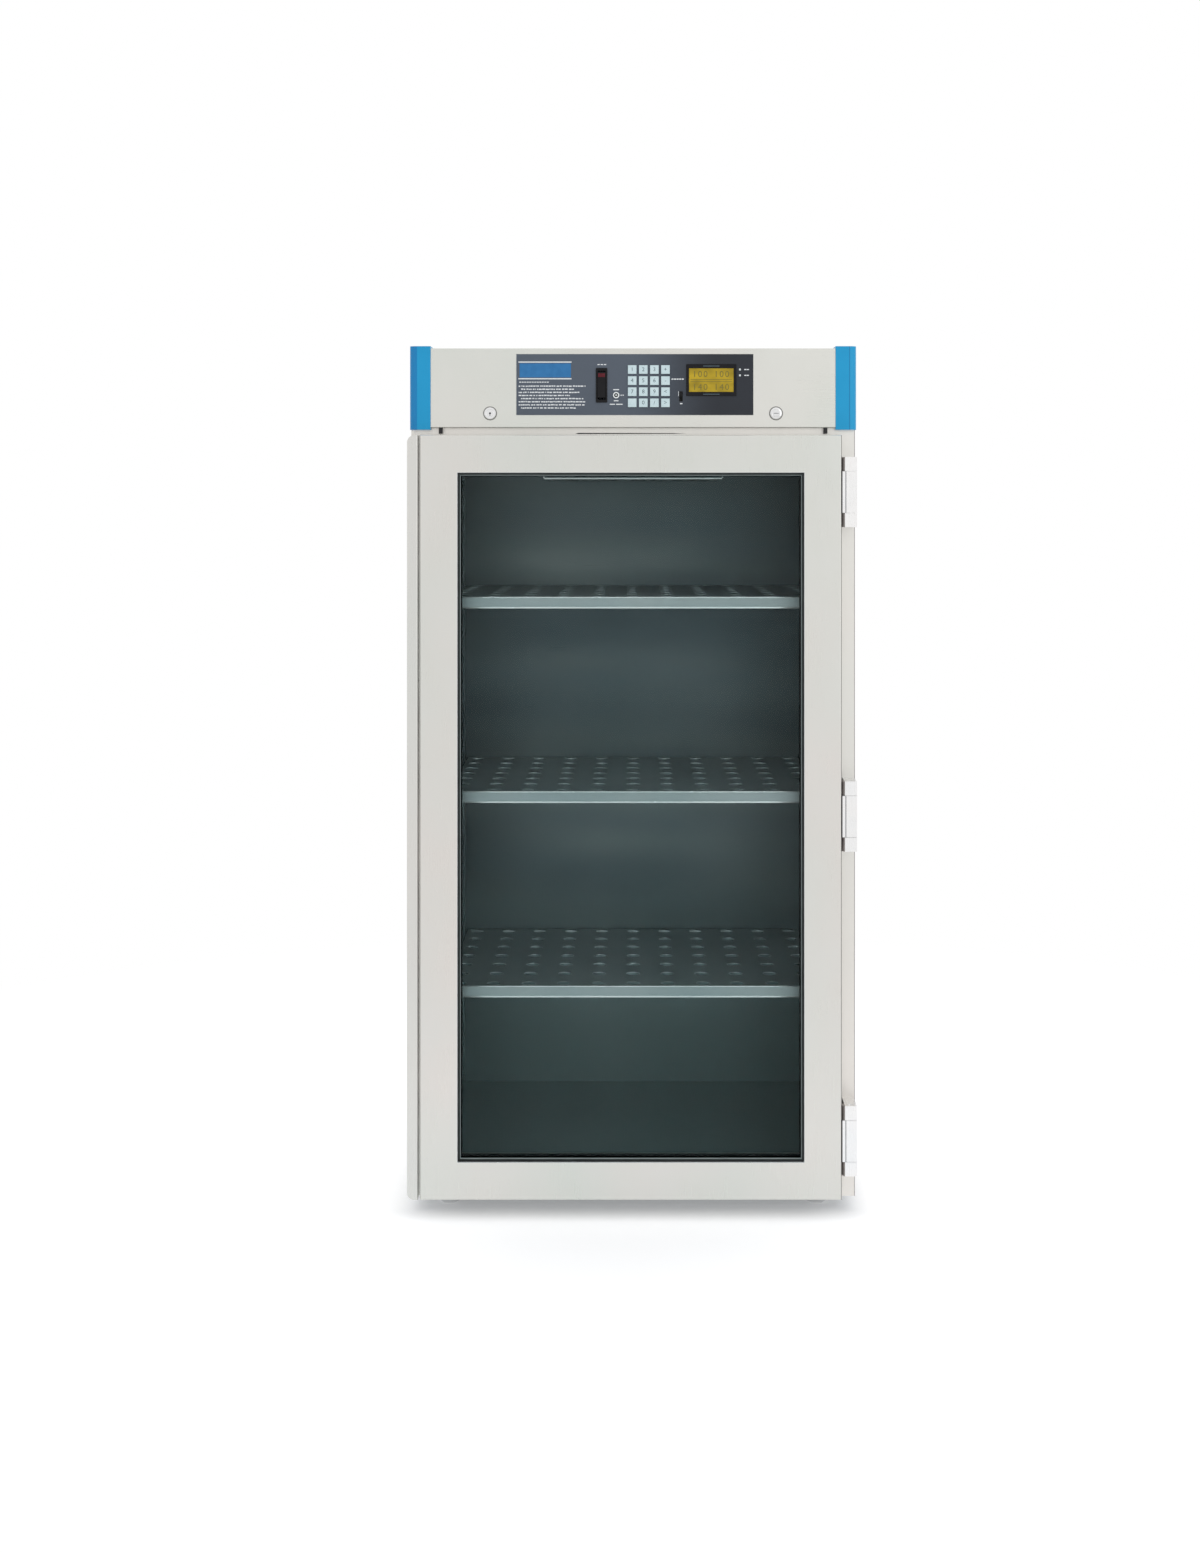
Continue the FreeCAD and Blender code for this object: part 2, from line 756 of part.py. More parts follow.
def make_clip(name, side, y, level):
    """Folded clip: a hook in the slot, a plate on the pilaster and a tongue under the shelf."""
    body = new_body(name)
    gauge = S.clip_gauge
    face = PILASTER_FACE * side
    step = gauge * side
    tip = face - S.clip_reach * side
    top = level - S.shelf_side
    low = top - S.clip_height
    middle = y + S.pilaster_width / 2
    pad(body, "plate", "XZ", middle - S.clip_width / 2, middle + S.clip_width / 2, [
        (face, low), (face, top), (tip, top), (tip, top - gauge), (face - step, top - gauge),
        (face - step, low)])
    hook_half = S.slot_width / 2 - 0.3
    hook_low = low + 3.6
    pad(body, "hook", "XZ", middle - hook_half, middle + hook_half,
        rectangle(face - step / 2, face + S.pilaster_depth * (0.7 * side),
                  hook_low, hook_low + gauge * 2))
    return body


# ---------------------------------------------------------------- air system

def make_ceiling_baffle():
    """Folded box under the fan: air is drawn in through its floor and leaves by the walls."""
    body = new_body("ceiling_baffle")
    gauge = S.sheet_gauge
    half = S.baffle_width / 2
    low = S.chamber_ceiling - S.baffle_height
    rear = BAFFLE_FRONT + S.baffle_width
    pad(body, "box", "XY", low, S.chamber_ceiling, rectangle(-half, half, BAFFLE_FRONT, rear))
    pocket(body, "inside", "XY", low + gauge, S.chamber_ceiling + THROUGH,
           rectangle(-half + gauge, half - gauge, BAFFLE_FRONT + gauge, rear - gauge))
    mid = low + S.baffle_height / 2
    places = [S.baffle_pitch * (number - 3.5) for number in range(8)]
    pocket(body, "front_holes", "XZ", BAFFLE_FRONT - THROUGH, BAFFLE_FRONT + gauge + THROUGH,
           *[polygon(place, mid, S.baffle_hole, 8, 0.5) for place in places])
    tall, wide = S.baffle_hole * 0.7, S.baffle_pitch * 1.2
    outlets = [rectangle(S.baffle_pitch * number - wide, S.baffle_pitch * number + wide,
                         mid - tall, mid + tall) for number in (-2.7, 0, 2.7)]
    pocket(body, "rear_outlets", "XZ", rear - gauge - THROUGH, rear + THROUGH, *outlets)
    pocket(body, "side_outlets", "YZ", -half - THROUGH, half + THROUGH,
           *[[(FAN_Y + across, up) for across, up in outlet] for outlet in outlets])
    slots = []
    for number in range(-3, 4):
        x = S.intake_pitch * number
        reach = S.wheel_radius * (0.8 * math.cos(number / 4))
        slots.append(rectangle(x - S.intake_slot / 2, x + S.intake_slot / 2,
                               FAN_Y - reach, FAN_Y + reach))
    pocket(body, "intake", "XY", low - THROUGH, low + gauge + THROUGH, *slots)
    return body


MOTOR_LOW = S.deck_height + S.motor_stand
MOTOR_TOP = MOTOR_LOW + S.stack_height


def make_blower_motor():
    """Open-frame motor: laminated stack and coil on two feet, bearing brackets around the shaft."""
    body = new_body("blower_motor")
    wide, deep = S.stack_width / 2, S.stack_depth / 2
    pad(body, "stack", "XY", MOTOR_LOW, MOTOR_TOP, rectangle(-wide, wide, FAN_Y - deep, FAN_Y + deep))
    pad(body, "coil", "XY", MOTOR_LOW - 10, MOTOR_TOP + 10,
        rectangle(-wide - 6, -wide + 16, FAN_Y - deep / 2, FAN_Y + deep / 2))
    pad(body, "legs", "XY", S.deck_height, MOTOR_LOW,
        rectangle(wide - 4, wide + 10, FAN_Y - deep, FAN_Y + deep),
        rectangle(-wide - 10, -wide - 6, FAN_Y - deep, FAN_Y + deep))
    pad(body, "leg_shelf", "XY", MOTOR_LOW - 2, MOTOR_LOW,
        rectangle(-wide - 10, -wide + 1, FAN_Y - deep, FAN_Y + deep))
    pad(body, "bearings", "XY", MOTOR_LOW - 10, MOTOR_TOP + 10,
        polygon(Size.of(0), FAN_Y, S.shaft_radius + 9, 6))
    pocket(body, "bearing_bore", "XY", MOTOR_LOW - 10 - THROUGH, MOTOR_TOP + 10 + THROUGH,
           (Size.of(0), FAN_Y, S.shaft_radius + S.running_fit))
    return body


def make_blower_wheel():
    """Radial wheel: back plate, swept flat blades, hub, and the shaft up to the motor."""
    body = new_body("blower_wheel")
    gauge = S.sheet_gauge
    pad(body, "back_plate", "XY", WHEEL_TOP - gauge, WHEEL_TOP, (Size.of(0), FAN_Y, S.wheel_radius))
    pad(body, "hub", "XY", WHEEL_LOW + 6, WHEEL_TOP, polygon(Size.of(0), FAN_Y, S.shaft_radius + 6, 6))
    pad(body, "shaft", "XY", WHEEL_TOP - gauge, MOTOR_TOP + 12, (Size.of(0), FAN_Y, S.shaft_radius))
    start, end, sweep, blades = 0.5, 0.97, 35, 8
    for number in range(blades):
        turn = 360 * number / blades
        corners = []
        for share, angle in ((start, turn), (end, turn - sweep), (end, turn - sweep + 1.6),
                             (start, turn + 2.8)):
            radians = math.radians(angle)
            corners.append((S.wheel_radius * (share * math.cos(radians)),
                            FAN_Y + S.wheel_radius * (share * math.sin(radians))))
        pad(body, f"blade_{number}", "XY", WHEEL_LOW, WHEEL_TOP - gauge, corners)
    return body


def make_heater_strips():
    """Two strip heaters beside the wheel, each held at the deck by two tabs and a terminal plate."""
    strips = []
    level = WHEEL_LOW + S.wheel_height / 2
    low, high = level - S.strip_height / 2, level + S.strip_height / 2
    for side, name in ((-1, "left"), (1, "right")):
        body = new_body(f"heater_strip_{name}")
        x = S.strip_place * side
        pad(body, "bar", "XY", low, high,
            rectangle(x - S.strip_gauge / 2, x + S.strip_gauge / 2,
                      FAN_Y - S.strip_length / 2, FAN_Y + S.strip_length / 2))
        places = [FAN_Y + S.tab_pitch / 2 * along for along in (-1, 1)]
        pad(body, "tabs", "XY", high - 1, S.deck_height + 16,
            *[rectangle(x - S.tab_gauge / 2, x + S.tab_gauge / 2,
                        y - S.tab_width / 2, y + S.tab_width / 2) for y in places])
        pad(body, "terminal_plates", "XY", S.deck_height, S.deck_height + 3,
            *[rectangle(x - 12, x + 12, y - 10, y + 10) for y in places])
        strips.append(body)
    return group("heater_strips", strips)


def make_air_probe():
    """Temperature probe: a hexagonal head on the deck and a thin sheath down into the chamber."""
    body = new_body("air_probe")
    pad(body, "sheath", "XY", S.chamber_ceiling - S.probe_reach, S.deck_height,
        (S.probe_place, FAN_Y, S.probe_radius))
    pad(body, "head", "XY", S.deck_height, S.deck_height + 12,
        polygon(S.probe_place, FAN_Y, S.probe_radius + 7, 6))
    return body


def make_power_supply():
    """Cased supply on the deck, with vent slots in its lid and a terminal strip in front."""
    body = new_body("power_supply")
    left, right = -HALF + 70, -HALF + 230
    front, rear = FAN_Y - 50, FAN_Y + 60
    base = S.deck_height
    pad(body, "feet", "XY", base, base + 1.5, rectangle(left - 12, right + 12, front, rear))
    pad(body, "case", "XY", base, base + 48, rectangle(left, right, front, rear))
    pad(body, "terminals", "XY", base, base + 20, rectangle(left + 20, right - 20, front - 14, front))
    slot = pocket(body, "lid_slot", "XY", base + 46, base + 49,
                  rectangle(left + 16, left + 20, front + 16, rear - 16))
    repeat(body, "lid_slots", slot, "X_Axis", Size.of(14), 9)
    return body


def inlet_outline(clear):
    """Outline of the three-pin inlet, with its two bevelled upper corners."""
    x, z = INLET_X, S.inlet_height
    wide, tall, bevel = 13.5 + clear, 10 + clear, 5
    return [(x - wide, z - tall), (x + wide, z - tall), (x + wide, z + tall - bevel),
            (x + wide - bevel, z + tall), (x - wide + bevel, z + tall),
            (x - wide, z + tall - bevel)]


def make_mains_inlet():
    """Recessed three-pin inlet, clamped behind the back panel by its flange."""
    body = new_body("mains_inlet")
    x, z = INLET_X, S.inlet_height
    rear = BACK_Y - 26
    pad(body, "shroud", "XZ", rear, BACK_Y, inlet_outline(Size.of(0)))
    pad(body, "flange", "XZ", PANEL_FRONT - 3, PANEL_FRONT,
        rectangle(x - 25, x + 25, z - 14, z + 14))
    pocket(body, "recess", "XZ", BACK_Y - 17, BACK_Y + THROUGH, inlet_outline(Size.of(-1.8)))
    pad(body, "pins", "XZ", BACK_Y - 18, BACK_Y - 3,
        rectangle(x - 8, x - 6, z - 4, z), rectangle(x + 6, x + 8, z - 4, z),
        rectangle(x - 1, x + 1, z + 1, z + 5))
    return body


# ---------------------------------------------------------------- door

def door_ring(inset_out, inset_in):
    """Two outlines: the door's edge and the window's edge, each moved inwards by an inset."""
    border = S.door_border
    outer = rectangle(DOOR_LEFT + inset_out, DOOR_RIGHT - inset_out,
                      S.door_bottom + inset_out, DOOR_TOP - inset_out)
    inner = rectangle(DOOR_LEFT + border + inset_in, DOOR_RIGHT - border - inset_in,
                      S.door_bottom + border + inset_in, DOOR_TOP - border - inset_in)
    return outer, inner


def window_ring(grow_out, grow_in):
    """Two outlines around the window, each grown outwards from the window's edge."""
    return door_ring(0, -grow_out)[1], door_ring(0, -grow_in)[1]


def make_door_frame():
    """Folded outer pan: front skin, edge walls and the returns around the window."""
    body = new_body("door_frame")
    gauge = S.door_gauge
    outer, window = door_ring(0, 0)
    pad(body, "pan", "XZ", DOOR_Y, DOOR_BACK, outer)
    front = near("y", DOOR_Y)
    folds = edges_like(body.Shape, ALONG_X, front) + edges_like(body.Shape, ALONG_Z, front)
    fillet(body, "folds", folds, S.door_edge_radius)
    pocket(body, "inside", "XZ", DOOR_Y + gauge, DOOR_BACK + THROUGH, door_ring(gauge, 0)[0])
    collar, _ = window_ring(gauge, 0)
    pad(body, "window_collar", "XZ", DOOR_Y + gauge / 2, DOOR_Y + S.bead_depth, collar)
    pocket(body, "window", "XZ", DOOR_Y - THROUGH, DOOR_Y + S.bead_depth + THROUGH, window)
    return body


GLASS_FRONT = DOOR_Y + S.bead_depth + S.bead_gauge
GLASS_BACK = GLASS_FRONT + S.pane_thickness * 2 + S.pane_gap
BEAD_BACK = GLASS_BACK + 1.5


def make_door_liner():
    """Inner pan that closes the door's back and clamps the glass unit."""
    body = new_body("door_liner")
    gauge = S.sheet_gauge
    outer, window = door_ring(S.door_gauge, S.bead_width)
    pad(body, "plate", "XZ", DOOR_BACK - gauge, DOOR_BACK, outer, window)
    collar, opening = window_ring(gauge - S.bead_width, -S.bead_width)
    pad(body, "clamp_collar", "XZ", BEAD_BACK, DOOR_BACK - gauge / 2, collar, opening)
    return body


def make_door_glass():
    """The two toughened panes of the sealed unit."""
    panes = []
    edge = window_ring(S.pane_overlap, 0)[0]
    for name, start in (("outer_pane", GLASS_FRONT), ("inner_pane", GLASS_BACK - S.pane_thickness)):
        body = new_body(name)
        pad(body, "pane", "XZ", start, start + S.pane_thickness, edge)
        panes.append(body)
    return group("door_glass", panes)


def make_glass_spacer():
    """Bar between the panes, just showing inside the glazing bead."""
    body = new_body("glass_spacer")
    start = GLASS_FRONT + S.pane_thickness
    pad(body, "bar", "XZ", start, start + S.pane_gap,
        *window_ring(S.pane_overlap - 1, -S.bead_width - S.spacer_show))
    return body


def make_glazing_gasket():
    """Rubber channel around the glass unit, with its soft lip showing in front."""
    body = new_body("glazing_gasket")
    reach = S.pane_overlap + S.bead_edge
    start = GLASS_FRONT - S.bead_gauge
    pad(body, "channel", "XZ", start, BEAD_BACK, *window_ring(reach, -S.bead_width))
    pocket(body, "glass_seat", "XZ", GLASS_FRONT, GLASS_BACK,
           window_ring(S.pane_overlap, 0)[0])
    return body


def make_door_gasket():
    """Magnetic bulb seal on the door's back: a narrow foot and a wide soft bulb."""
    body = new_body("door_gasket")
    inset, width = S.seal_inset, S.seal_width
    narrow = 2

    def ring(trim):
        outer = door_ring(inset + trim, 0)[0]
        inner = door_ring(inset + width - trim, 0)[0]
        return outer, inner

    pad(body, "foot", "XZ", DOOR_BACK, DOOR_BACK + S.seal_foot, *ring(narrow))
    pad(body, "bulb", "XZ", DOOR_BACK + S.seal_foot, FACE_Y - SOFT_GAP, *ring(0))
    front = near("y", FACE_Y - SOFT_GAP)
    edges = edges_like(body.Shape, ALONG_X, front) + edges_like(body.Shape, ALONG_Z, front)
    fillet(body, "bulb_round", edges, Size.of(2.5))
    return body


def make_handle_strip():
    """Full-height folded pull: a front strip with a finger space behind, on a joggled flange."""
    section = new_body("handle_section")
    gauge = S.handle_gauge
    right = DOOR_LEFT - S.handle_gap
    left = right - S.handle_width
    deep = DOOR_Y + S.handle_depth
    flange_end = DOOR_BACK - 2
    pad(section, "fold", "XY", S.door_bottom, DOOR_TOP, [
        (left, DOOR_Y), (right, DOOR_Y), (right, deep), (DOOR_LEFT, deep),
        (DOOR_LEFT, flange_end), (DOOR_LEFT - gauge, flange_end),
        (DOOR_LEFT - gauge, deep + gauge), (right - gauge, deep + gauge),
        (right - gauge, DOOR_Y + gauge), (left + gauge, DOOR_Y + gauge),
        (left + gauge, DOOR_Y + S.handle_lip), (left, DOOR_Y + S.handle_lip)])
    fillet(section, "front_folds", edges_like(section.Shape, ALONG_Z, near("y", DOOR_Y)),
           gauge * 0.9)
    plate = new_body("handle_corners")
    pad(plate, "plate", "XZ", DOOR_Y - THROUGH, DOOR_BACK,
        rectangle(left, DOOR_LEFT, S.door_bottom, DOOR_TOP))
    fillet(plate, "rounded", edges_like(plate.Shape, ALONG_Y, near("x", left)), S.handle_corner)
    strip = DOC.addObject("Part::Common", "handle_strip")
    strip.Base = section
    strip.Tool = plate
    strip.Label = "handle_strip"
    DOC.recompute()
    return strip


# ---------------------------------------------------------------- door hinges

def hinge_levels():
    for number in range(3):
        yield number, S.hinge_low + S.hinge_spacing * number


def make_hinge_brackets():
    """Fixed halves: a plate on the face frame with a deep arm at each end of the pin."""
    brackets = []
    left, right = HINGE_X - S.knuckle_half, HINGE_X + S.knuckle_half
    for number, middle in hinge_levels():
        body = new_body(f"hinge_bracket_{number + 1}")
        low, high = middle - S.hinge_length / 2, middle + S.hinge_length / 2
        pad(body, "arms", "XY", low, high, rectangle(left, right, DOOR_Y, FACE_Y))
        pocket(body, "knuckle_space", "XY", low + S.hinge_end, high - S.hinge_end,
               rectangle(left - THROUGH, right + THROUGH, DOOR_Y - THROUGH,
                         FACE_Y - S.hinge_plate))
        pocket(body, "pin_bores", "XY", low - THROUGH, high + THROUGH,
               (HINGE_X, HINGE_Y, S.pin_radius + S.press_fit))
        brackets.append(body)
    return group("hinge_brackets", brackets)


def make_hinge_pins():
    pins = []
    for number, middle in hinge_levels():
        pins.append(rod(f"hinge_pin_{number + 1}", "z", (HINGE_X, HINGE_Y),
                        (middle - S.hinge_length / 2 + 1, middle + S.hinge_length / 2 - 1),
                        S.pin_radius))
    return group("hinge_pins", pins)


def make_hinge_leaves():
    """Door halves: a knuckle around the pin and a leaf on the door's edge, with a fine groove."""
    leaves = []
    edge = HINGE_X - S.knuckle_half + 2.5
    for number, middle in hinge_levels():
        body = new_body(f"hinge_leaf_{number + 1}")
        reach = S.hinge_length / 2 - S.hinge_end - S.hinge_gap
        low, high = middle - reach, middle + reach
        pad(body, "leaf", "XY", low, high,
            [(DOOR_RIGHT, DOOR_Y), (HINGE_X + S.knuckle_half, DOOR_Y),
             (HINGE_X + S.knuckle_half, DOOR_Y + S.knuckle_front * 2),
             (edge, DOOR_Y + S.knuckle_front * 2), (edge, DOOR_Y + S.hinge_leaf_depth),
             (DOOR_RIGHT, DOOR_Y + S.hinge_leaf_depth)])
        pocket(body, "seam", "XY", low - THROUGH, high + THROUGH,
               rectangle(edge - 0.8, edge, DOOR_Y - THROUGH, DOOR_Y + 1.2))
        pocket(body, "pin_bore", "XY", low - THROUGH, high + THROUGH,
               (HINGE_X, HINGE_Y, S.pin_radius + S.running_fit))
        leaves.append(body)
    return group("hinge_leaves", leaves)


# ---------------------------------------------------------------- control header

def barrel_spans(odd):
    """Alternate stretches of the fascia's long hinge barrel, with a small gap between them."""
    count = 4
    step = BARREL_HALF * 2 / count
    for number in range(count):
        if number % 2 == odd:
            start = -BARREL_HALF + step * number
            yield number, (start + 0.2, start + step - 0.2)


def make_fascia_hinge():
    """Fixed leaf under the top sheet, its barrel stretches, and the pin through all of them."""
    pieces = [rod("fascia_pin", "x", (BARREL_Y, BARREL_Z), (-BARREL_HALF, BARREL_HALF),
                  S.barrel_pin)]
    leaf_top = S.body_top - S.sheet_gauge
    for number, span in barrel_spans(0):
        pieces.append(rod(f"fixed_barrel_{number}", "x", (BARREL_Y, BARREL_Z), span,
                          S.barrel_radius))
        pieces.append(block(f"fixed_tab_{number}", span, (BARREL_Y, TOP_FRONT + 2),
                            (leaf_top - 1.2, leaf_top)))
    pieces.append(block("fixed_leaf", (-BARREL_HALF, BARREL_HALF),
                        (TOP_FRONT + 0.5, TOP_FRONT + S.leaf_width), (leaf_top - 1.2, leaf_top)))
    return fuse("fascia_hinge", pieces)


def make_fascia_panel():
    """Folded fascia with its hinge leaf, the control window and two lock holes."""
    body = new_body("fascia_sheet")
    gauge = S.fascia_gauge
    half = FASCIA_HALF
    low, high = S.fascia_bottom, S.body_top
    flange_end = BARREL_Y - S.barrel_drop
    pad(body, "face", "XZ", FASCIA_Y, FASCIA_Y + gauge, rectangle(-half, half, low, high))
    pad(body, "top_flange", "XZ", FASCIA_Y, flange_end, rectangle(-half, half, high - gauge, high))
    pad(body, "foot_flange", "XZ", FASCIA_Y, FASCIA_Y + S.fascia_foot,
        rectangle(-half, half, low, low + gauge))
    pad(body, "side_flanges", "XZ", FASCIA_Y, FASCIA_Y + S.fascia_side,
        rectangle(-half, -half + gauge, S.lip_top + 2, high),
        rectangle(half - gauge, half, S.lip_top + 2, high))
    front = near("y", FASCIA_Y)
    fillet(body, "front_folds", edges_like(body.Shape, ALONG_X, front), gauge * 0.9)
    pocket(body, "control_window", "XZ", FASCIA_Y - THROUGH, FASCIA_Y + gauge + THROUGH,
           rectangle(-S.window_left, S.window_right, S.window_low, S.window_high))
    pocket(body, "lock_holes", "XZ", FASCIA_Y - THROUGH, FASCIA_Y + gauge + THROUGH,
           *[(LOCK_X * side, S.lock_height, S.lock_stem + S.running_fit)
             for side in (-1, 1)])
    posts = [(-S.window_left + 34, S.window_low - 5), (S.window_right + 5, S.window_low - 5),
             (-S.window_left + 34, S.window_high + 4), (S.window_right + 5, S.window_high + 4)]
    pad(body, "board_posts", "XZ", FASCIA_Y + gauge / 2, BOARD_Y,
        *[square(x, z, Size.of(5)) for x, z in posts])
    pieces = [body]
    tools = []
    leaf_top = high - gauge
    for number, span in barrel_spans(1):
        pieces.append(rod(f"swing_barrel_{number}", "x", (BARREL_Y, BARREL_Z), span,
                          S.barrel_radius))
        pieces.append(block(f"swing_tab_{number}", span, (flange_end - 3, BARREL_Y),
                            (leaf_top - 1.2, leaf_top)))
        tools.append(rod(f"swing_bore_{number}", "x", (BARREL_Y, BARREL_Z),
                         (span[0] - THROUGH, span[1] + THROUGH), S.barrel_pin + S.running_fit))
    pieces.append(block("swing_leaf", (-BARREL_HALF, BARREL_HALF),
                        (FASCIA_Y + gauge, flange_end - 0.2), (leaf_top - 1.2, leaf_top)))
    return cut("fascia_panel", fuse("fascia_blank", pieces), tools)


def key_places():
    for row in range(4):
        for column in range(4):
            x = S.keypad_place + S.key_pitch * (column - 1.5)
            z = S.control_height - S.key_pitch * (row - 1.5)
            yield f"key_row{row + 1}_col{column + 1}", x, z


BUTTON_X = -S.button_place
BUTTON_Z = S.control_height - S.button_drop
DISPLAY_Z = S.control_height + S.display_lift
ROCKER_Z = S.control_height + S.rocker_lift
SLIDE_Z = S.control_height - S.slide_drop
LAMP_Z = S.control_height + S.lamp_lift
WELL_BACK = FASCIA_Y + 16
PIVOT_Y = OVERLAY_Y + 5


def make_control_overlay():
    """Moulded control panel: keypad grid, display opening, rocker well and button ring."""
    body = new_body("control_overlay")
    back = FASCIA_Y
    rocker = rectangle(-S.rocker_place - S.rocker_width / 2, -S.rocker_place + S.rocker_width / 2,
                       ROCKER_Z - S.rocker_height / 2, ROCKER_Z + S.rocker_height / 2)
    pad(body, "plate", "XZ", OVERLAY_Y, back,
        rectangle(-S.overlay_left, S.overlay_right, S.overlay_low, S.overlay_high))
    pad(body, "rocker_rim", "XZ", OVERLAY_Y - 1.2, WELL_BACK, rocker)
    pad(body, "button_ring", "XZ", OVERLAY_Y - 1.4, back, (BUTTON_X, BUTTON_Z, S.button_ring))
    rim = S.rocker_rim
    opening = rectangle(-S.rocker_place - S.rocker_width / 2 + rim,
                        -S.rocker_place + S.rocker_width / 2 - rim,
                        ROCKER_Z - S.rocker_height / 2 + rim * 1.6,
                        ROCKER_Z + S.rocker_height / 2 - rim * 1.6)
    pocket(body, "rocker_well", "XZ", OVERLAY_Y - 2, WELL_BACK - 1.5, opening)
    reach = S.rocker_width / 2 + THROUGH
    pocket(body, "pivot_bores", "YZ", -S.rocker_place - reach, -S.rocker_place + reach,
           (PIVOT_Y, ROCKER_Z, Size.of(1.5) + S.running_fit))
    clear = S.key_side + S.key_clearance * 2
    pocket(body, "key_holes", "XZ", OVERLAY_Y - THROUGH, back + THROUGH,
           *[square(x, z, clear) for _, x, z in key_places()])
    wide, tall = S.display_width / 2, S.display_height / 2
    pocket(body, "display_hole", "XZ", OVERLAY_Y - THROUGH, back + THROUGH,
           rectangle(S.display_place - wide, S.display_place + wide,
                     DISPLAY_Z - tall, DISPLAY_Z + tall))
    pocket(body, "button_hole", "XZ", OVERLAY_Y - 2, back + THROUGH,
           (BUTTON_X, BUTTON_Z, S.button_radius + S.running_fit))
    pocket(body, "slide_slot", "XZ", OVERLAY_Y - THROUGH, back + THROUGH,
           rectangle(S.slide_place - S.slide_width / 2, S.slide_place + S.slide_width / 2,
                     SLIDE_Z - S.slide_length / 2, SLIDE_Z + S.slide_length / 2))
    pocket(body, "lamp_holes", "XZ", OVERLAY_Y - THROUGH, back + THROUGH,
           *[square(S.lamp_place, LAMP_Z - S.lamp_pitch * number, S.lamp_side + S.press_fit * 2)
             for number in range(2)])
    return body


def make_controller_board():
    """Printed board with soldered parts: relays, a connector, the slide switch and the lamps."""
    body = new_body("controller_board")
    left, right = -S.window_left + 28, S.window_right + 12
    low, high = S.window_low - 12, S.window_high + 8
    rear = BOARD_Y + S.board_gauge
    pad(body, "board", "XZ", BOARD_Y, rear, rectangle(left, right, low, high))
    pad(body, "relays", "XZ", rear - 0.5, rear + 13,
        rectangle(left + 20, left + 40, low + 14, low + 34),
        rectangle(left + 48, left + 68, low + 14, low + 34),
        rectangle(left + 100, left + 150, low + 12, low + 24))
    pad(body, "chips", "XZ", rear - 0.5, rear + 3,
        rectangle(left + 20, left + 44, low + 48, low + 58),
        rectangle(left + 60, left + 84, low + 48, low + 72),
        rectangle(left + 110, left + 140, low + 44, low + 60))
    pad(body, "slide_body", "XZ", BOARD_Y - 6, BOARD_Y + 0.5,
        rectangle(S.slide_place - 5, S.slide_place + 5, SLIDE_Z - 12, SLIDE_Z + 12))
    pad(body, "lamps", "XZ", OVERLAY_Y - 0.4, BOARD_Y + 0.5,
        *[square(S.lamp_place, LAMP_Z - S.lamp_pitch * number, S.lamp_side) for number in range(2)])
    return body


def make_display_module():
    """Display block in its bezel, with the viewing face set a little behind the rim."""
    body = new_body("display_module")
    wide, tall = S.display_width / 2, S.display_height / 2
    clear = 0.15
    front = OVERLAY_Y - 1
    pad(body, "case", "XZ", front, BOARD_Y,
        rectangle(S.display_place - wide + clear, S.display_place + wide - clear,
                  DISPLAY_Z - tall + clear, DISPLAY_Z + tall - clear))
    view_wide, view_tall = S.display_view_width / 2, S.display_view_height / 2
    pocket(body, "view", "XZ", front - THROUGH, front + 1.5,
           rectangle(S.display_place - view_wide, S.display_place + view_wide,
                     DISPLAY_Z - view_tall, DISPLAY_Z + view_tall))
    return body


def make_keys():
    """Square key caps with a retaining flange behind the panel and a stem to the board."""
    keys = []
    for name, x, z in key_places():
        body = new_body(name)
        front = OVERLAY_Y - S.key_proud
        back = FASCIA_Y + S.running_fit
        pad(body, "cap", "XZ", front, back, square(x, z, S.key_side))
        pad(body, "flange", "XZ", back, back + S.key_flange, square(x, z, S.key_side + 2))
        pad(body, "stem", "XZ", back, BOARD_Y - S.key_travel - 0.3, square(x, z, Size.of(4)))
        keys.append(body)
    return keys


def make_power_rocker():
    """Rocker resting with its upper half pressed in; its stub axles turn in the well's walls."""
    body = new_body("power_rocker")
    clear = 0.4
    half = S.rocker_width / 2 - S.rocker_rim - clear
    rim_front = OVERLAY_Y - 1.2
    upper, lower = rim_front - 0.6, rim_front - 0.6 - S.rocker_slope
    long_half = S.rocker_height / 2 - S.rocker_rim * 1.6 - 2.4
    rear = PIVOT_Y + 4
    pad(body, "paddle", "YZ", -S.rocker_place - half, -S.rocker_place + half, [
        (upper, ROCKER_Z + long_half), (upper, ROCKER_Z),
        (lower, ROCKER_Z - long_half + 1.4), (PIVOT_Y - 2, ROCKER_Z - long_half),
        (rear, ROCKER_Z - long_half * 0.5), (rear, ROCKER_Z + long_half * 0.5),
        (PIVOT_Y - 2, ROCKER_Z + long_half)])
    reach = S.rocker_width / 2 - 0.3
    pad(body, "axles", "YZ", -S.rocker_place - reach, -S.rocker_place + reach,
        (PIVOT_Y, ROCKER_Z, Size.of(1.5)))
    return body


def make_reset_button():
    """Round push button with a retaining flange behind the panel."""
    body = new_body("reset_button")
    front = OVERLAY_Y - 2.6
    back = FASCIA_Y + S.running_fit
    pad(body, "plunger", "XZ", front, back, (BUTTON_X, BUTTON_Z, S.button_radius))
    pad(body, "flange", "XZ", back, back + 1, square(BUTTON_X, BUTTON_Z, S.button_radius * 3))
    return body


def make_slide_knob():
    """Knob of the slide switch, at the top of its slot, reaching back to the switch body."""
    body = new_body("slide_knob")
    top = SLIDE_Z + S.slide_length / 2 - 1
    half = S.slide_width / 2 - 0.5
    tall = S.slide_length - S.slide_travel - 2
    pad(body, "knob", "XZ", OVERLAY_Y - 1.8, BOARD_Y - 6.3,
        rectangle(S.slide_place - half, S.slide_place + half, top - tall, top))
    return body


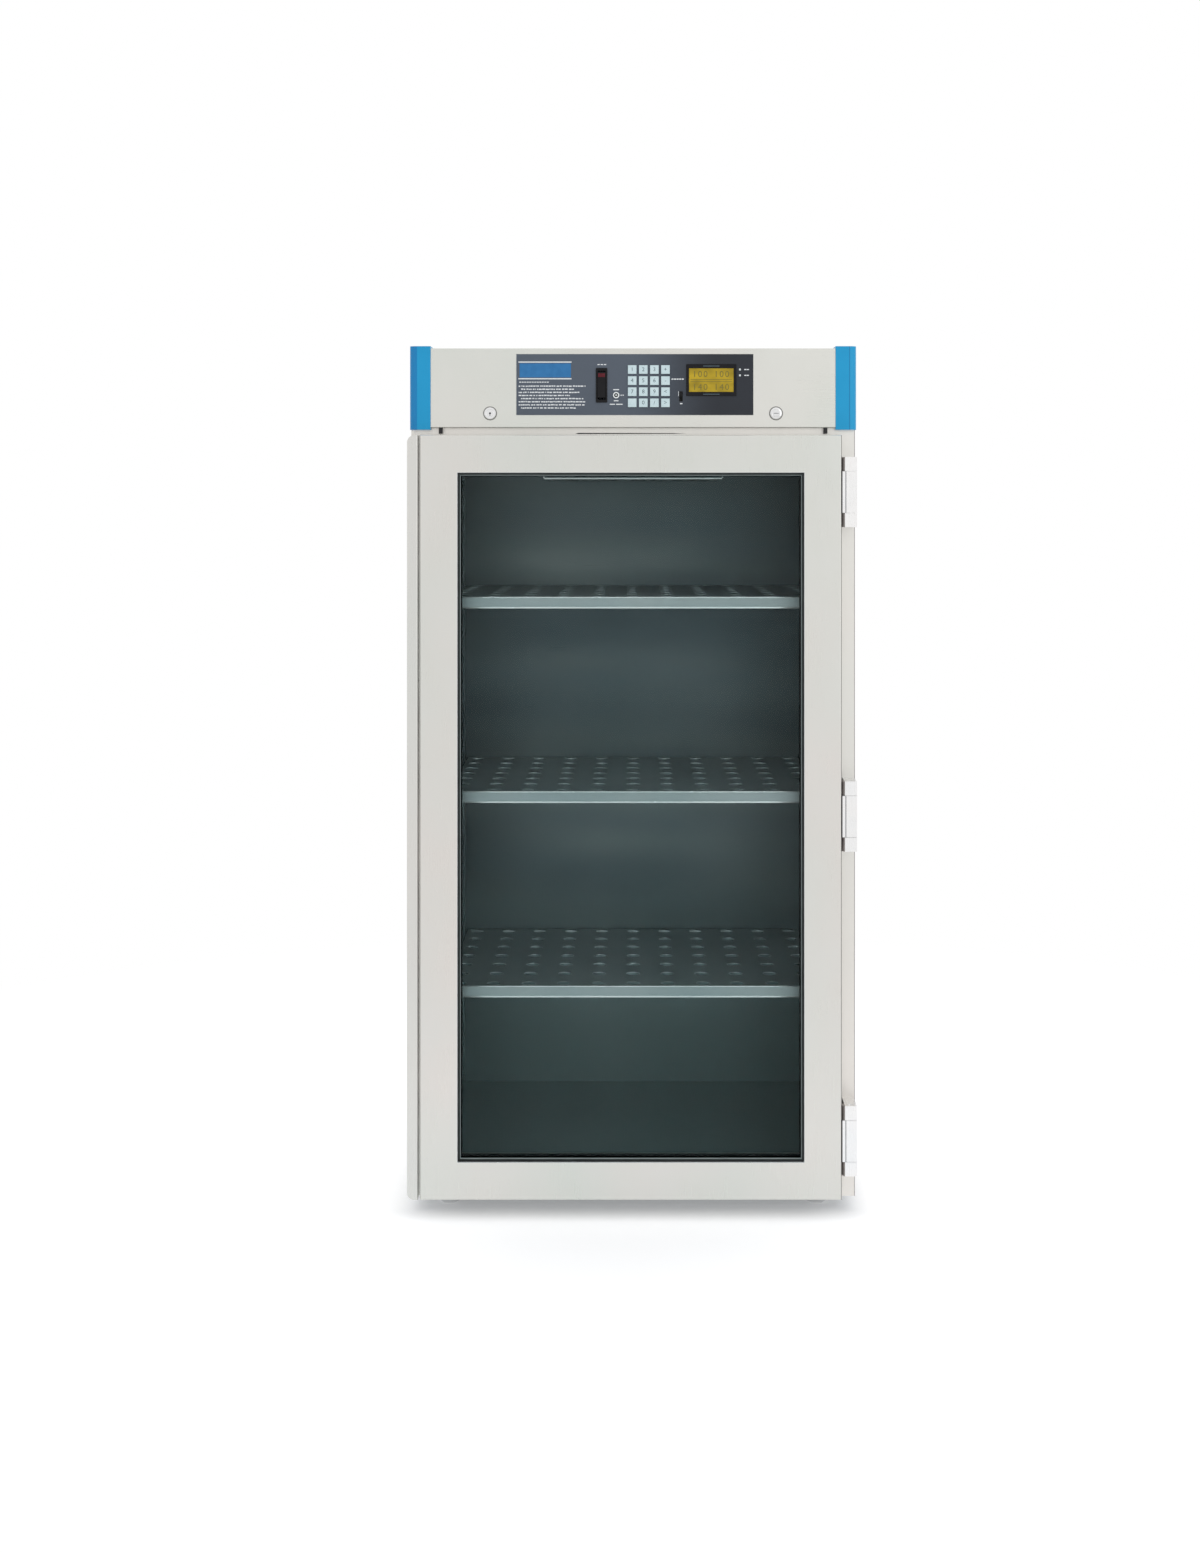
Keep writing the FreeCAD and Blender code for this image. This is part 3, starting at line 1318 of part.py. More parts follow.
def make_lock(name, side):
    """Quarter-turn lock: slotted head, stem through the fascia, cam behind the upstand."""
    x = LOCK_X * side
    z = S.lock_height
    cam_front = FRAME_BACK + 1.5
    head = rod(f"{name}_head", "y", (x, z), (FASCIA_Y - 3, FASCIA_Y), S.lock_radius)
    stem = rod(f"{name}_stem", "y", (x, z), (FASCIA_Y, cam_front), S.lock_stem)
    ends = [x - S.lock_stem * side, x + S.lock_reach * side]
    ends.sort(key=lambda size: size.value)
    cam = block(f"{name}_cam", tuple(ends), (cam_front, cam_front + 3), (z - 6, z + 6))
    slot = block(f"{name}_slot", (x - 5, x + 5), (FASCIA_Y - 4, FASCIA_Y - 1.6), (z - 0.9, z + 0.9))
    return cut(name, fuse(f"{name}_blank", [head, stem, cam]), [slot])


def make_bumpers():
    """Two rubber stops on the face frame that the closed fascia sits just above."""
    bumpers = []
    for number, side in enumerate((-1, 1)):
        x = BUMPER_X * side
        bumpers.append(block(f"bumper_{number}", (x - S.bumper_width / 2, x + S.bumper_width / 2),
                             (FASCIA_Y + 0.5, FACE_Y), (S.fascia_bottom - 10,
                                                        S.fascia_bottom - SOFT_GAP)))
    return group("fascia_bumpers", bumpers)


# ---------------------------------------------------------------- assembly and export

def make_all():
    """Build every node and return them in the order of the cabinet's own assembly."""
    pilasters = [make_pilaster(f"pilaster_{number + 1}", side, y)
                 for number, (side, y) in enumerate(pilaster_places())]
    clips = [make_clip(f"clip_{name}_{number + 1}", side, y, level)
             for name, level in shelf_levels()
             for number, (side, y) in enumerate(pilaster_places())]
    nodes = [
        make_outer_wrap(), make_back_panel(), make_base_pan(), make_face_frame(),
        make_chamber_liner(), make_wall_insulation(),
        group("corner_caps", [make_cap("cap_left", -1), make_cap("cap_right", 1)]),
        group("pilasters", pilasters), group("shelf_clips", clips),
        make_ceiling_baffle(), make_blower_motor(), make_blower_wheel(),
        make_heater_strips(), make_air_probe(), make_power_supply(), make_mains_inlet(),
        make_fascia_hinge(), make_bumpers(), make_hinge_brackets(), make_hinge_pins(),
        make_door_frame(), make_door_liner(), make_door_glass(), make_glass_spacer(),
        make_glazing_gasket(), make_door_gasket(), make_handle_strip(), make_hinge_leaves(),
        make_fascia_panel(), make_control_overlay(), make_controller_board(),
        make_display_module(), make_power_rocker(), make_reset_button(), make_slide_knob(),
        make_lock("lock_left", -1), make_lock("lock_right", 1),
    ]
    nodes += make_keys()
    nodes += [make_shelf(name, level) for name, level in shelf_levels()]
    nodes += make_feet()
    return nodes


def check_and_export(nodes):
    """Stop on any failed feature or bad solid, then write one STEP file for each node."""
    for item in DOC.Objects:
        if "Invalid" in item.State or "Error" in item.State:
            raise RuntimeError(f"{item.Name} failed: {item.State}")
    os.makedirs("parts", exist_ok=True)
    for node in nodes:
        shape = node.Shape
        if shape.isNull() or not shape.isValid() or not shape.Solids:
            raise RuntimeError(f"{node.Label} has no valid solid")
        shape.exportStep(f"parts/{node.Label}.step")
    return len(nodes)


NODES = make_all()
DOC.recompute()
print(check_and_export(NODES), "nodes written")
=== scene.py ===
"""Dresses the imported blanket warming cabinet: finishes, prints, perforated sheet, fasteners."""
import json
import logging
import math
import random
from dataclasses import dataclass
from enum import Enum
from typing import Any, Iterable, Mapping, Sequence

import bmesh
import bpy
from mathutils import Matrix, Vector

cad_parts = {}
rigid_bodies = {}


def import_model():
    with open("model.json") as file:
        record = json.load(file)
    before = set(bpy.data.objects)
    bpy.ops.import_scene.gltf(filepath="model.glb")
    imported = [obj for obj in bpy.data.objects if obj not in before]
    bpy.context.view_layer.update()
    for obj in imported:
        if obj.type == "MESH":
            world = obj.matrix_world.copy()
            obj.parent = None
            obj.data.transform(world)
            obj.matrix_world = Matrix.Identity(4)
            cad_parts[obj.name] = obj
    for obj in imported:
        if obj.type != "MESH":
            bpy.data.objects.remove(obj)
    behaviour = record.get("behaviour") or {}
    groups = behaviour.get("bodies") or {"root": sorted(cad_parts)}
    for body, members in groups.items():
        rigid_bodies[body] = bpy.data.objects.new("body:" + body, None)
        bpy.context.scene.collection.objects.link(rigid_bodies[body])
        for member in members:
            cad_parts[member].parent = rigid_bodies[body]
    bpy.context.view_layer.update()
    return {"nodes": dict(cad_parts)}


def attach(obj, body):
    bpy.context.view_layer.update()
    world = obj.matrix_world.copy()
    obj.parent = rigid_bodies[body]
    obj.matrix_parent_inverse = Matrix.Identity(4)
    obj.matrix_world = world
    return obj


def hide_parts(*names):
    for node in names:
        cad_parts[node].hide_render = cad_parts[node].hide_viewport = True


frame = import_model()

log = logging.getLogger("warming cabinet")

Tree, Socket = bpy.types.NodeTree, bpy.types.NodeSocket
Place = tuple[float, float, float]
Point = tuple[float, float]
Outline = Sequence[Point]
# A box of painted shade: two corners in millimetres and its colour.
ShadeMark = tuple[Place, Place, str]

MM = 0.001
CRISP_ANGLE = math.radians(32)
# Where faces of the cabinet lie from front to back, and heights that pieces share, in millimetres.
KEY_FACE, PANEL_FACE, FASCIA_FACE, BODY_FACE, BACK_FACE = -291.5, -289.7, -288.5, -278.5, 336.5
DECK = 1340.0
HINGE_LEVELS = (136.0, 685.5, 1235.0)
LAMP_LEVELS = (1445.0, 1435.0)
FAN = -0.5


class Axis(Enum):
    """A direction of the cabinet: across, deep or up."""

    X = 0
    Y = 1
    Z = 2


# ---------------------------------------------------------------- nodes and colours

# A noise factor seldom leaves this range.
MIDDLE = {"From Min": 0.3, "From Max": 0.7}


def linear(code: str) -> tuple[float, float, float, float]:
    """Turn an sRGB hex value into a linear colour.

    Args:
        code: Six hex digits, with or without a leading hash.

    Returns:
        Linear red, green, blue and an alpha of one.
    """
    shares = [int(code.lstrip("#")[place:place + 2], 16) / 255 for place in (0, 2, 4)]
    red, green, blue = (share / 12.92 if share <= 0.04045 else ((share + 0.055) / 1.055) ** 2.4
                        for share in shares)
    return red, green, blue, 1.0


def add(tree: Tree, kind: str, sockets: Mapping[Any, Any] | None = None,
        **settings: Any) -> bpy.types.Node:
    """Add one node with its settings, values and links.

    Args:
        tree: The tree that gets the node.
        kind: The node's type name.
        sockets: Input name or number, with its value or what feeds it: an output, a node, which
            stands for its first output, or a list of those.
        **settings: Properties of the node itself.

    Returns:
        The new node.
    """
    node = tree.nodes.new(kind)
    for name, value in settings.items():
        setattr(node, name, value)
    for name, given in (sockets or {}).items():
        for value in given if isinstance(given, list) else [given]:
            if isinstance(value, bpy.types.Node):
                value = value.outputs[0]
            if isinstance(value, Socket):
                tree.links.new(value, node.inputs[name])
            else:
                node.inputs[name].default_value = value
    return node


def noise(tree: Tree, size_mm: Place, detail: float = 2.0) -> Socket:
    """Lay noise over the cabinet's frame.

    Args:
        tree: The material's tree.
        size_mm: Size of the pattern's features along each axis, in millimetres.
        detail: Octaves of finer noise.

    Returns:
        The noise factor.
    """
    coords = add(tree, "ShaderNodeTexCoord").outputs["Object"]
    scaled = add(tree, "ShaderNodeMapping", {
        "Vector": coords, "Scale": tuple(1000 / size for size in size_mm)})
    return add(tree, "ShaderNodeTexNoise",
               {"Vector": scaled, "Scale": 1.0, "Detail": detail}).outputs["Fac"]


def mottled(tree: Tree, factor: Socket, first: str, second: str) -> Socket:
    """Blend two tones by the middle of a noise factor.

    Args:
        tree: The material's tree.
        factor: The noise factor.
        first: Tone where the factor is low.
        second: Tone where it is high.

    Returns:
        The blended colour.
    """
    share = add(tree, "ShaderNodeMapRange", {"Value": factor, **MIDDLE})
    return add(tree, "ShaderNodeMix", {0: share, 6: linear(first), 7: linear(second)},
               data_type="RGBA").outputs[2]


def paint_shade(tree: Tree, colour: Socket, marks: Iterable[ShadeMark]) -> Socket:
    """Paint shade onto parts of a surface: boxes given another colour.

    Args:
        tree: The material's tree.
        colour: The surface's own colour.
        marks: Two corners of a box, in millimetres, and the colour of the painted shade inside it.

    Returns:
        The colour with its painted shade.
    """
    for low, high, tone in marks:
        coords = add(tree, "ShaderNodeTexCoord").outputs["Object"]
        middle = tuple((a + b) / 2 * MM for a, b in zip(low, high))
        half = tuple((b - a) / 2 * MM for a, b in zip(low, high))
        off = add(tree, "ShaderNodeVectorMath", {0: coords, 1: middle}, operation="SUBTRACT")
        apart = add(tree, "ShaderNodeVectorMath", {0: off}, operation="ABSOLUTE")
        past = add(tree, "ShaderNodeVectorMath", {0: apart, 1: half}, operation="SUBTRACT")
        ways = add(tree, "ShaderNodeSeparateXYZ", {0: past}).outputs
        flat = add(tree, "ShaderNodeMath", {0: ways[0], 1: ways[1]}, operation="MAXIMUM")
        most = add(tree, "ShaderNodeMath", {0: flat, 1: ways[2]}, operation="MAXIMUM")
        inside = add(tree, "ShaderNodeMath", {0: most, 1: 0.0}, operation="LESS_THAN")
        colour = add(tree, "ShaderNodeMix", {0: inside, 6: colour, 7: linear(tone)},
                     data_type="RGBA").outputs[2]
    return colour


# ---------------------------------------------------------------- finishes

@dataclass(frozen=True)
class Finish:
    """A named surface; each kind of finish says how it is shaded."""

    name: str

    def shade(self, tree: Tree) -> Socket:
        """Build the shader in the tree and return its output."""
        raise NotImplementedError

    def material(self) -> bpy.types.Material:
        """Find this finish's material, or build it the first time.

        Returns:
            The material.
        """
        made = bpy.data.materials.get(self.name)
        if made is None:
            made = bpy.data.materials.new(self.name)
            made.use_nodes = True
            made.node_tree.nodes.clear()
            add(made.node_tree, "ShaderNodeOutputMaterial",
                {"Surface": self.shade(made.node_tree)})
        return made


@dataclass(frozen=True)
class BrushedSheet(Finish):
    """Rolled steel sheet with a fine brushed grain and broad, faint changes of tone."""

    tone: str
    warm: str
    cool: str
    roughness: float = 0.32
    grain: Axis = Axis.Z
    grain_mm: float = 0.9
    grain_stretch: float = 90.0
    patch_mm: Place = (210.0, 210.0, 340.0)
    relief: float = 0.25
    streak: float = 0.05
    metallic: float = 1.0
    # Painted light: a lighter tone that the sheet turns to near the bottom, between two heights in
    # metres.
    painted_light_tone: str = ""
    painted_light_heights: Point = (0.09, 0.6)
    # Boxes of painted shade.
    marks: tuple[ShadeMark, ...] = ()

    def shade(self, tree: Tree) -> Socket:
        """Let the grain drive roughness and bump, and two broad noises tint the sheet.

        Args:
            tree: The material's tree.

        Returns:
            The shader's output.
        """
        sizes = [self.grain_mm] * 3
        sizes[self.grain.value] *= self.grain_stretch
        grain = noise(tree, tuple(sizes), 3.0)
        haze = noise(tree, tuple(size * 0.4 for size in self.patch_mm), 3.0)
        tinted = mottled(tree, noise(tree, self.patch_mm, 1.0), self.cool, self.warm)
        share = add(tree, "ShaderNodeMapRange",
                    {"Value": haze, **MIDDLE, "To Min": 0.25, "To Max": 0.75})
        colour = add(tree, "ShaderNodeMix", {0: share, 6: tinted, 7: linear(self.tone)},
                     data_type="RGBA").outputs[2]
        # Painted light: lighter towards the bottom.
        if self.painted_light_tone:
            coords = add(tree, "ShaderNodeTexCoord").outputs["Object"]
            height = add(tree, "ShaderNodeSeparateXYZ", {0: coords}).outputs[2]
            share = add(tree, "ShaderNodeMapRange", {
                "Value": height, "From Min": self.painted_light_heights[0], "From Max": self.painted_light_heights[1],
                "To Min": 1.0, "To Max": 0.0}, interpolation_type="SMOOTHSTEP")
            colour = add(tree, "ShaderNodeMix", {0: share, 6: colour, 7: linear(self.painted_light_tone)},
                         data_type="RGBA").outputs[2]
        streaks = add(tree, "ShaderNodeMapRange", {
            "Value": grain, **MIDDLE, "To Min": -self.streak, "To Max": self.streak})
        level = add(tree, "ShaderNodeMapRange", {
            "Value": haze, **MIDDLE, "To Min": self.roughness - 0.03,
            "To Max": self.roughness + 0.03})
        relief = add(tree, "ShaderNodeBump",
                     {"Height": grain, "Distance": 0.02 * MM, "Strength": self.relief})
        return add(tree, "ShaderNodeBsdfPrincipled", {
            "Base Color": paint_shade(tree, colour, self.marks), "Metallic": self.metallic,
            "Roughness": add(tree, "ShaderNodeMath", {0: streaks, 1: level}, operation="ADD"),
            "Normal": relief}).outputs[0]


@dataclass(frozen=True)
class ZincSheet(Finish):
    """Galvanised sheet: soft grey spangle of frozen zinc crystals."""

    light: str = "#b4b8b9"
    dark: str = "#a5a9ab"
    spangle_mm: float = 7.0
    haze_mm: float = 90.0

    def shade(self, tree: Tree) -> Socket:
        """Let cells stand for the crystals, each a little lighter or darker.

        Args:
            tree: The material's tree.

        Returns:
            The shader's output.
        """
        coords = add(tree, "ShaderNodeTexCoord").outputs["Object"]
        cells = add(tree, "ShaderNodeTexVoronoi",
                    {"Vector": coords, "Scale": 1000 / self.spangle_mm}).outputs["Color"]
        level = add(tree, "ShaderNodeSeparateColor", {0: cells})
        colour = add(tree, "ShaderNodeMix", {
            0: level, 6: linear(self.light), 7: linear(self.dark)}, data_type="RGBA").outputs[2]
        rough = add(tree, "ShaderNodeMapRange", {
            "Value": noise(tree, (self.haze_mm,) * 3), **MIDDLE, "To Min": 0.42, "To Max": 0.55})
        relief = add(tree, "ShaderNodeBump",
                     {"Height": level, "Distance": 0.03 * MM, "Strength": 0.15})
        return add(tree, "ShaderNodeBsdfPrincipled", {
            "Base Color": colour, "Metallic": 1.0, "Roughness": rough,
            "Normal": relief}).outputs[0]


@dataclass(frozen=True)
class Moulded(Finish):
    """Moulded or coated surface with a fine texture and slight mottling."""

    tone: str
    shade_tone: str
    roughness: float = 0.4
    texture_mm: float = 0.6
    depth_mm: float = 0.02
    mottle_mm: float = 40.0
    specular: float = 0.5
    metallic: float = 0.0
    # Boxes of painted shade.
    marks: tuple[ShadeMark, ...] = ()

    def shade(self, tree: Tree) -> Socket:
        """Let fine noise give the surface its tooth, and broad noise its mottling.

        Args:
            tree: The material's tree.

        Returns:
            The shader's output.
        """
        fine, broad = (noise(tree, (size,) * 3) for size in (self.texture_mm, self.mottle_mm))
        colour = mottled(tree, broad, self.shade_tone, self.tone)
        rough = add(tree, "ShaderNodeMapRange", {
            "Value": broad, **MIDDLE, "To Min": self.roughness - 0.04,
            "To Max": self.roughness + 0.04})
        relief = add(tree, "ShaderNodeBump",
                     {"Height": fine, "Distance": self.depth_mm * MM, "Strength": 0.3})
        return add(tree, "ShaderNodeBsdfPrincipled", {
            "Base Color": paint_shade(tree, colour, self.marks), "Metallic": self.metallic,
            "Specular IOR Level": self.specular, "Roughness": rough,
            "Normal": relief}).outputs[0]


@dataclass(frozen=True)
class PanelFilm(Finish):
    """Matt printed film of the control panel, its tint running from left to right as a painted
    reflection.
    """

    left: str
    right: str
    half_width: float = 0.203
    sand_mm: float = 0.35
    haze_mm: float = 60.0

    def shade(self, tree: Tree) -> Socket:
        """Run the tint, a painted reflection, across the panel, and break the gloss with a fine
        sand texture.

        Args:
            tree: The material's tree.

        Returns:
            The shader's output.
        """
        coords = add(tree, "ShaderNodeTexCoord").outputs["Object"]
        across = add(tree, "ShaderNodeSeparateXYZ", {0: coords})
        share = add(tree, "ShaderNodeMapRange", {
            "Value": across, "From Min": -0.1 * self.half_width,
            "From Max": 0.75 * self.half_width}, interpolation_type="SMOOTHSTEP")
        colour = add(tree, "ShaderNodeMix", {
            0: share, 6: linear(self.left), 7: linear(self.right)}, data_type="RGBA").outputs[2]
        rough = add(tree, "ShaderNodeMapRange", {
            "Value": noise(tree, (self.haze_mm,) * 3), **MIDDLE, "To Min": 0.42, "To Max": 0.52})
        relief = add(tree, "ShaderNodeBump", {
            "Height": noise(tree, (self.sand_mm,) * 3), "Distance": 0.01 * MM, "Strength": 0.3})
        return add(tree, "ShaderNodeBsdfPrincipled", {
            "Base Color": colour, "IOR": 1.49, "Specular IOR Level": 0.15, "Roughness": rough,
            "Normal": relief}).outputs[0]


@dataclass(frozen=True)
class BacklitDisplay(Finish):
    """Display cell lit from behind, its brightness varying in broad patches."""

    bright: str = "#b89d2b"
    dim: str = "#8d7925"
    glow: float = 0.16
    cell_mm: float = 0.8
    patch_mm: Place = (26.0, 26.0, 16.0)

    def shade(self, tree: Tree) -> Socket:
        """Let cell rows give a faint raster, and broad noise vary the brightness.

        Args:
            tree: The material's tree.

        Returns:
            The shader's output.
        """
        coords = add(tree, "ShaderNodeTexCoord").outputs["Object"]
        raster = add(tree, "ShaderNodeTexChecker",
                     {"Vector": coords, "Scale": 1000 / self.cell_mm}).outputs["Fac"]
        colour = mottled(tree, noise(tree, self.patch_mm, 1.0), self.dim, self.bright)
        rough = add(tree, "ShaderNodeMapRange",
                    {"Value": raster, **MIDDLE, "To Min": 0.28, "To Max": 0.32})
        return add(tree, "ShaderNodeBsdfPrincipled", {
            "Base Color": colour, "Emission Color": colour, "Emission Strength": self.glow,
            "Roughness": rough, "Specular IOR Level": 0.15}).outputs[0]


@dataclass(frozen=True)
class ClearGlass(Finish):
    """Toughened glass with an anti-reflection coat and a faint green body."""

    tint: str = "#f5f8f8"
    shadow: str = "#eef3f3"
    coated_ior: float = 1.12
    patch_mm: Place = (220.0, 220.0, 400.0)

    def shade(self, tree: Tree) -> Socket:
        """Use glass for what is seen, and plain transparency for the lamps' rays.

        Args:
            tree: The material's tree.

        Returns:
            The shader's output.
        """
        body = mottled(tree, noise(tree, self.patch_mm, 1.0), self.tint, self.shadow)
        glass = add(tree, "ShaderNodeBsdfPrincipled", {
            "Base Color": body, "Transmission Weight": 1.0, "IOR": self.coated_ior,
            "Roughness": 0.0})
        clear = add(tree, "ShaderNodeBsdfTransparent", {"Color": linear(self.shadow)})
        lamps = add(tree, "ShaderNodeLightPath").outputs["Is Shadow Ray"]
        return add(tree, "ShaderNodeMixShader", {0: lamps, 1: glass, 2: clear}).outputs[0]


@dataclass(frozen=True)
class CircuitBoard(Finish):
    """Solder mask with copper tracks showing faintly beneath it."""

    mask: str = "#1f6b41"
    track: str = "#3a8a58"
    pitch_mm: float = 5.0

    def shade(self, tree: Tree) -> Socket:
        """Let brick joints on the board's own plane stand for the tracks.

        Args:
            tree: The material's tree.

        Returns:
            The shader's output.
        """
        coords = add(tree, "ShaderNodeTexCoord").outputs["Object"]
        turned = add(tree, "ShaderNodeMapping", {
            "Vector": coords, "Rotation": (math.pi / 2, 0, 0),
            "Scale": (1000 / self.pitch_mm / 4,) * 3})
        tracks = add(tree, "ShaderNodeTexBrick", {
            "Vector": turned, "Color1": linear(self.mask), "Color2": linear(self.mask),
            "Mortar": linear(self.track), "Mortar Size": 0.025, "Scale": 4.0}).outputs
        relief = add(tree, "ShaderNodeBump",
                     {"Height": tracks["Fac"], "Distance": 0.04 * MM, "Strength": 0.4})
        return add(tree, "ShaderNodeBsdfPrincipled", {
            "Base Color": tracks["Color"], "Roughness": 0.32, "Normal": relief}).outputs[0]


@dataclass(frozen=True)
class Layered(Finish):
    """Stacked laminations or a wound coil: fine parallel lines along one axis."""

    tone: str
    gap_tone: str
    pitch_mm: float
    axis: Axis
    metallic: float = 0.6
    roughness: float = 0.42

    def shade(self, tree: Tree) -> Socket:
        """Lay wave bands at the pitch of the layers, coarse enough to show.

        Args:
            tree: The material's tree.

        Returns:
            The shader's output.
        """
        coords = add(tree, "ShaderNodeTexCoord").outputs["Object"]
        level = add(tree, "ShaderNodeTexWave", {
            "Vector": coords, "Scale": 1000 / self.pitch_mm / 20, "Distortion": 0.0},
            bands_direction="XYZ"[self.axis.value]).outputs["Fac"]
        colour = add(tree, "ShaderNodeMix", {
            0: level, 6: linear(self.gap_tone), 7: linear(self.tone)},
            data_type="RGBA").outputs[2]
        rough = add(tree, "ShaderNodeMapRange", {
            "Value": level, **MIDDLE, "To Min": self.roughness + 0.05,
            "To Max": self.roughness - 0.05})
        relief = add(tree, "ShaderNodeBump",
                     {"Height": level, "Distance": 0.3 * MM, "Strength": 0.6})
        return add(tree, "ShaderNodeBsdfPrincipled", {
            "Base Color": colour, "Metallic": self.metallic, "Roughness": rough,
            "Normal": relief}).outputs[0]


@dataclass(frozen=True)
class StudioFloor(Finish):
    """Pale floor that fades into white, keeps the cabinet's shadow and adds a painted shadow near
    it.
    """

    pale: Place = (0.85, 0.86, 0.88)
    fade: Point = (0.9, 2.2)
    # The cabinet's footprint, its middle and half size in metres; close to it the floor glows
    # less, a painted shadow.
    middle: Place = (0.0, 0.03, 0.0)
    half: Place = (0.352, 0.292, 0.0)
    painted_shadow_reach: float = 0.07
    lift: Point = (0.2, 0.4)

    def shade(self, tree: Tree) -> Socket:
        """Show lit paint near the cabinet, dimmer at its footprint as painted shadow, white far
        away, nothing below.

        Args:
            tree: The material's tree.

        Returns:
            The shader's output.
        """
        coords = add(tree, "ShaderNodeTexCoord").outputs["Object"]
        length = add(tree, "ShaderNodeVectorMath", {0: coords}, operation="LENGTH")
        far = add(tree, "ShaderNodeMapRange", {
            "Value": length.outputs["Value"], "From Min": self.fade[0],
            "From Max": self.fade[1]})
        off = add(tree, "ShaderNodeVectorMath", {0: coords, 1: self.middle},
                  operation="SUBTRACT")
        beside = add(tree, "ShaderNodeVectorMath", {0: off}, operation="ABSOLUTE")
        past = add(tree, "ShaderNodeVectorMath", {0: beside, 1: self.half},
                   operation="SUBTRACT")
        apart = add(tree, "ShaderNodeVectorMath", {0: past, 1: (0, 0, 0)},
                    operation="MAXIMUM")
        gap = add(tree, "ShaderNodeVectorMath", {0: apart}, operation="LENGTH")
        # Painted shadow: the glow rises from the footprint outwards.
        lift = add(tree, "ShaderNodeMapRange", {
            "Value": gap.outputs["Value"], "From Min": 0.0, "From Max": self.painted_shadow_reach,
            "To Min": self.lift[0], "To Max": self.lift[1]})
        lit = add(tree, "ShaderNodeBsdfDiffuse", {"Color": (*self.pale, 1.0)})
        glow = add(tree, "ShaderNodeEmission", {"Strength": lift})
        near = add(tree, "ShaderNodeAddShader", {0: lit, 1: glow})
        white = add(tree, "ShaderNodeEmission", {"Strength": 1.0})
        seen = add(tree, "ShaderNodeMixShader", {0: far, 1: near, 2: white})
        both = add(tree, "ShaderNodeMixShader", {0: seen_share(tree), 1: lit, 2: seen})
        below = add(tree, "ShaderNodeNewGeometry").outputs["Backfacing"]
        clear = add(tree, "ShaderNodeBsdfTransparent")
        return add(tree, "ShaderNodeMixShader", {0: below, 1: both, 2: clear}).outputs[0]


def seen_share(tree: Tree) -> Socket:
    """Tell the rays that come straight from the camera, a reflection or through glass.

    Args:
        tree: The material's tree.

    Returns:
        One for such a ray, zero for any other.
    """
    path = add(tree, "ShaderNodeLightPath").outputs
    first = add(tree, "ShaderNodeMath", {0: path["Is Camera Ray"], 1: path["Is Glossy Ray"]},
                operation="MAXIMUM")
    return add(tree, "ShaderNodeMath", {0: first, 1: path["Is Transmission Ray"]},
               operation="MAXIMUM").outputs[0]


# Brushed austenitic stainless sheet: near-white metal, soft reflections, faint warm and cool
# areas. A grey line along its edge on the hinge side is painted shade.
FRONT_SHEET = BrushedSheet("brushed stainless front sheet", "#d6d6d2", "#dad4cf", "#cdd2cb",
                           marks=(((351.9, -337.0, 36.0), (353.6, -334.8, 1331.0), "#8d8b88"),))
# The same sheet with its grain across, for the header.
HEADER_SHEET = BrushedSheet("brushed stainless header sheet", "#d8d8d3", "#dcd6d0", "#d0d4cd",
                            grain=Axis.X)
# Body sheet, a shade warmer and duller than the door's; the grey line along its right front
# edge is painted shade too.
BODY_SHEET = BrushedSheet("brushed stainless body sheet", "#dfdcd7", "#e2dcd6", "#d9dad5",
                          roughness=0.36, patch_mm=(320.0, 320.0, 480.0),
                          marks=(((379.9, -279.0, 26.0), (381.1, -277.2, 1342.0), "#8f8a8a"),))
# Folded pull, a little glossier than the door.
PULL_SHEET = BrushedSheet("brushed stainless pull", "#d5d5d1", "#d8d4d0", "#cfd2ce", roughness=0.3)
# Annealed sheet inside the chamber. Its dark tone is painted shade of the unlit box, its broad
# level bands are painted reflections, and its lighter tone near the floor is painted light.
CHAMBER_SHEET = BrushedSheet("stainless chamber sheet with painted shade", "#617177", "#939c9a", "#3d4d52",
                             grain=Axis.X, grain_mm=2.0, patch_mm=(900.0, 900.0, 190.0),
                             relief=0.0, streak=0.02, metallic=0.5, painted_light_tone="#7f9394")
# Shelf sheet, lighter than the walls, whose dark tone is painted shade.
SHELF_SHEET = BrushedSheet("stainless shelf sheet", "#abb6b8", "#b2b9b9", "#9eacaf",
                           roughness=0.34, grain=Axis.X, grain_mm=1.5, relief=0.0,
                           streak=0.03, patch_mm=(160.0, 160.0, 160.0), metallic=0.5)
# Painted highlight on bright edges: folds of shelves and window, the air box's lip, the button's
# ring.
PAINTED_HIGHLIGHT = BrushedSheet("painted highlight on stainless edges", "#eef3f3", "#f0f3f2", "#e8eff0",
                         roughness=0.24, grain=Axis.X, grain_mm=2.0, relief=0.0, streak=0.02,
                         patch_mm=(60.0, 60.0, 60.0), metallic=0.6)
# Machined hinge steel, bright and even; the dark seams beside each hinge's knuckle are painted
# shade.
HINGE_STEEL = BrushedSheet(
    "satin hinge steel", "#ececec", "#eeebe9", "#e7e9ea", roughness=0.28, grain_mm=0.7,
    patch_mm=(60.0, 60.0, 60.0), marks=tuple(
        ((x - 0.7, -337.0, level - 35.2), (x + 0.7, -334.0, level + 35.2), tone)
        for level in HINGE_LEVELS for x, tone in ((353.9, "#4a4a4c"), (360.2, "#77787c"))))
# Bare pivot barrels inside the hinges, duller than the blocks.
BARREL = Moulded("bare sintered barrel", "#98918d", "#8d8784", roughness=0.5, mottle_mm=12,
                 metallic=0.3)
# Zinc coated sheet for what is hidden or faces a wall.
ZINC = ZincSheet("galvanised sheet")
# Mineral wool: matt, straw coloured and fibrous.
WOOL = Moulded("mineral wool", "#cdbd86", "#b5a46c", roughness=0.9, texture_mm=2.0, depth_mm=1.5,
               mottle_mm=25)
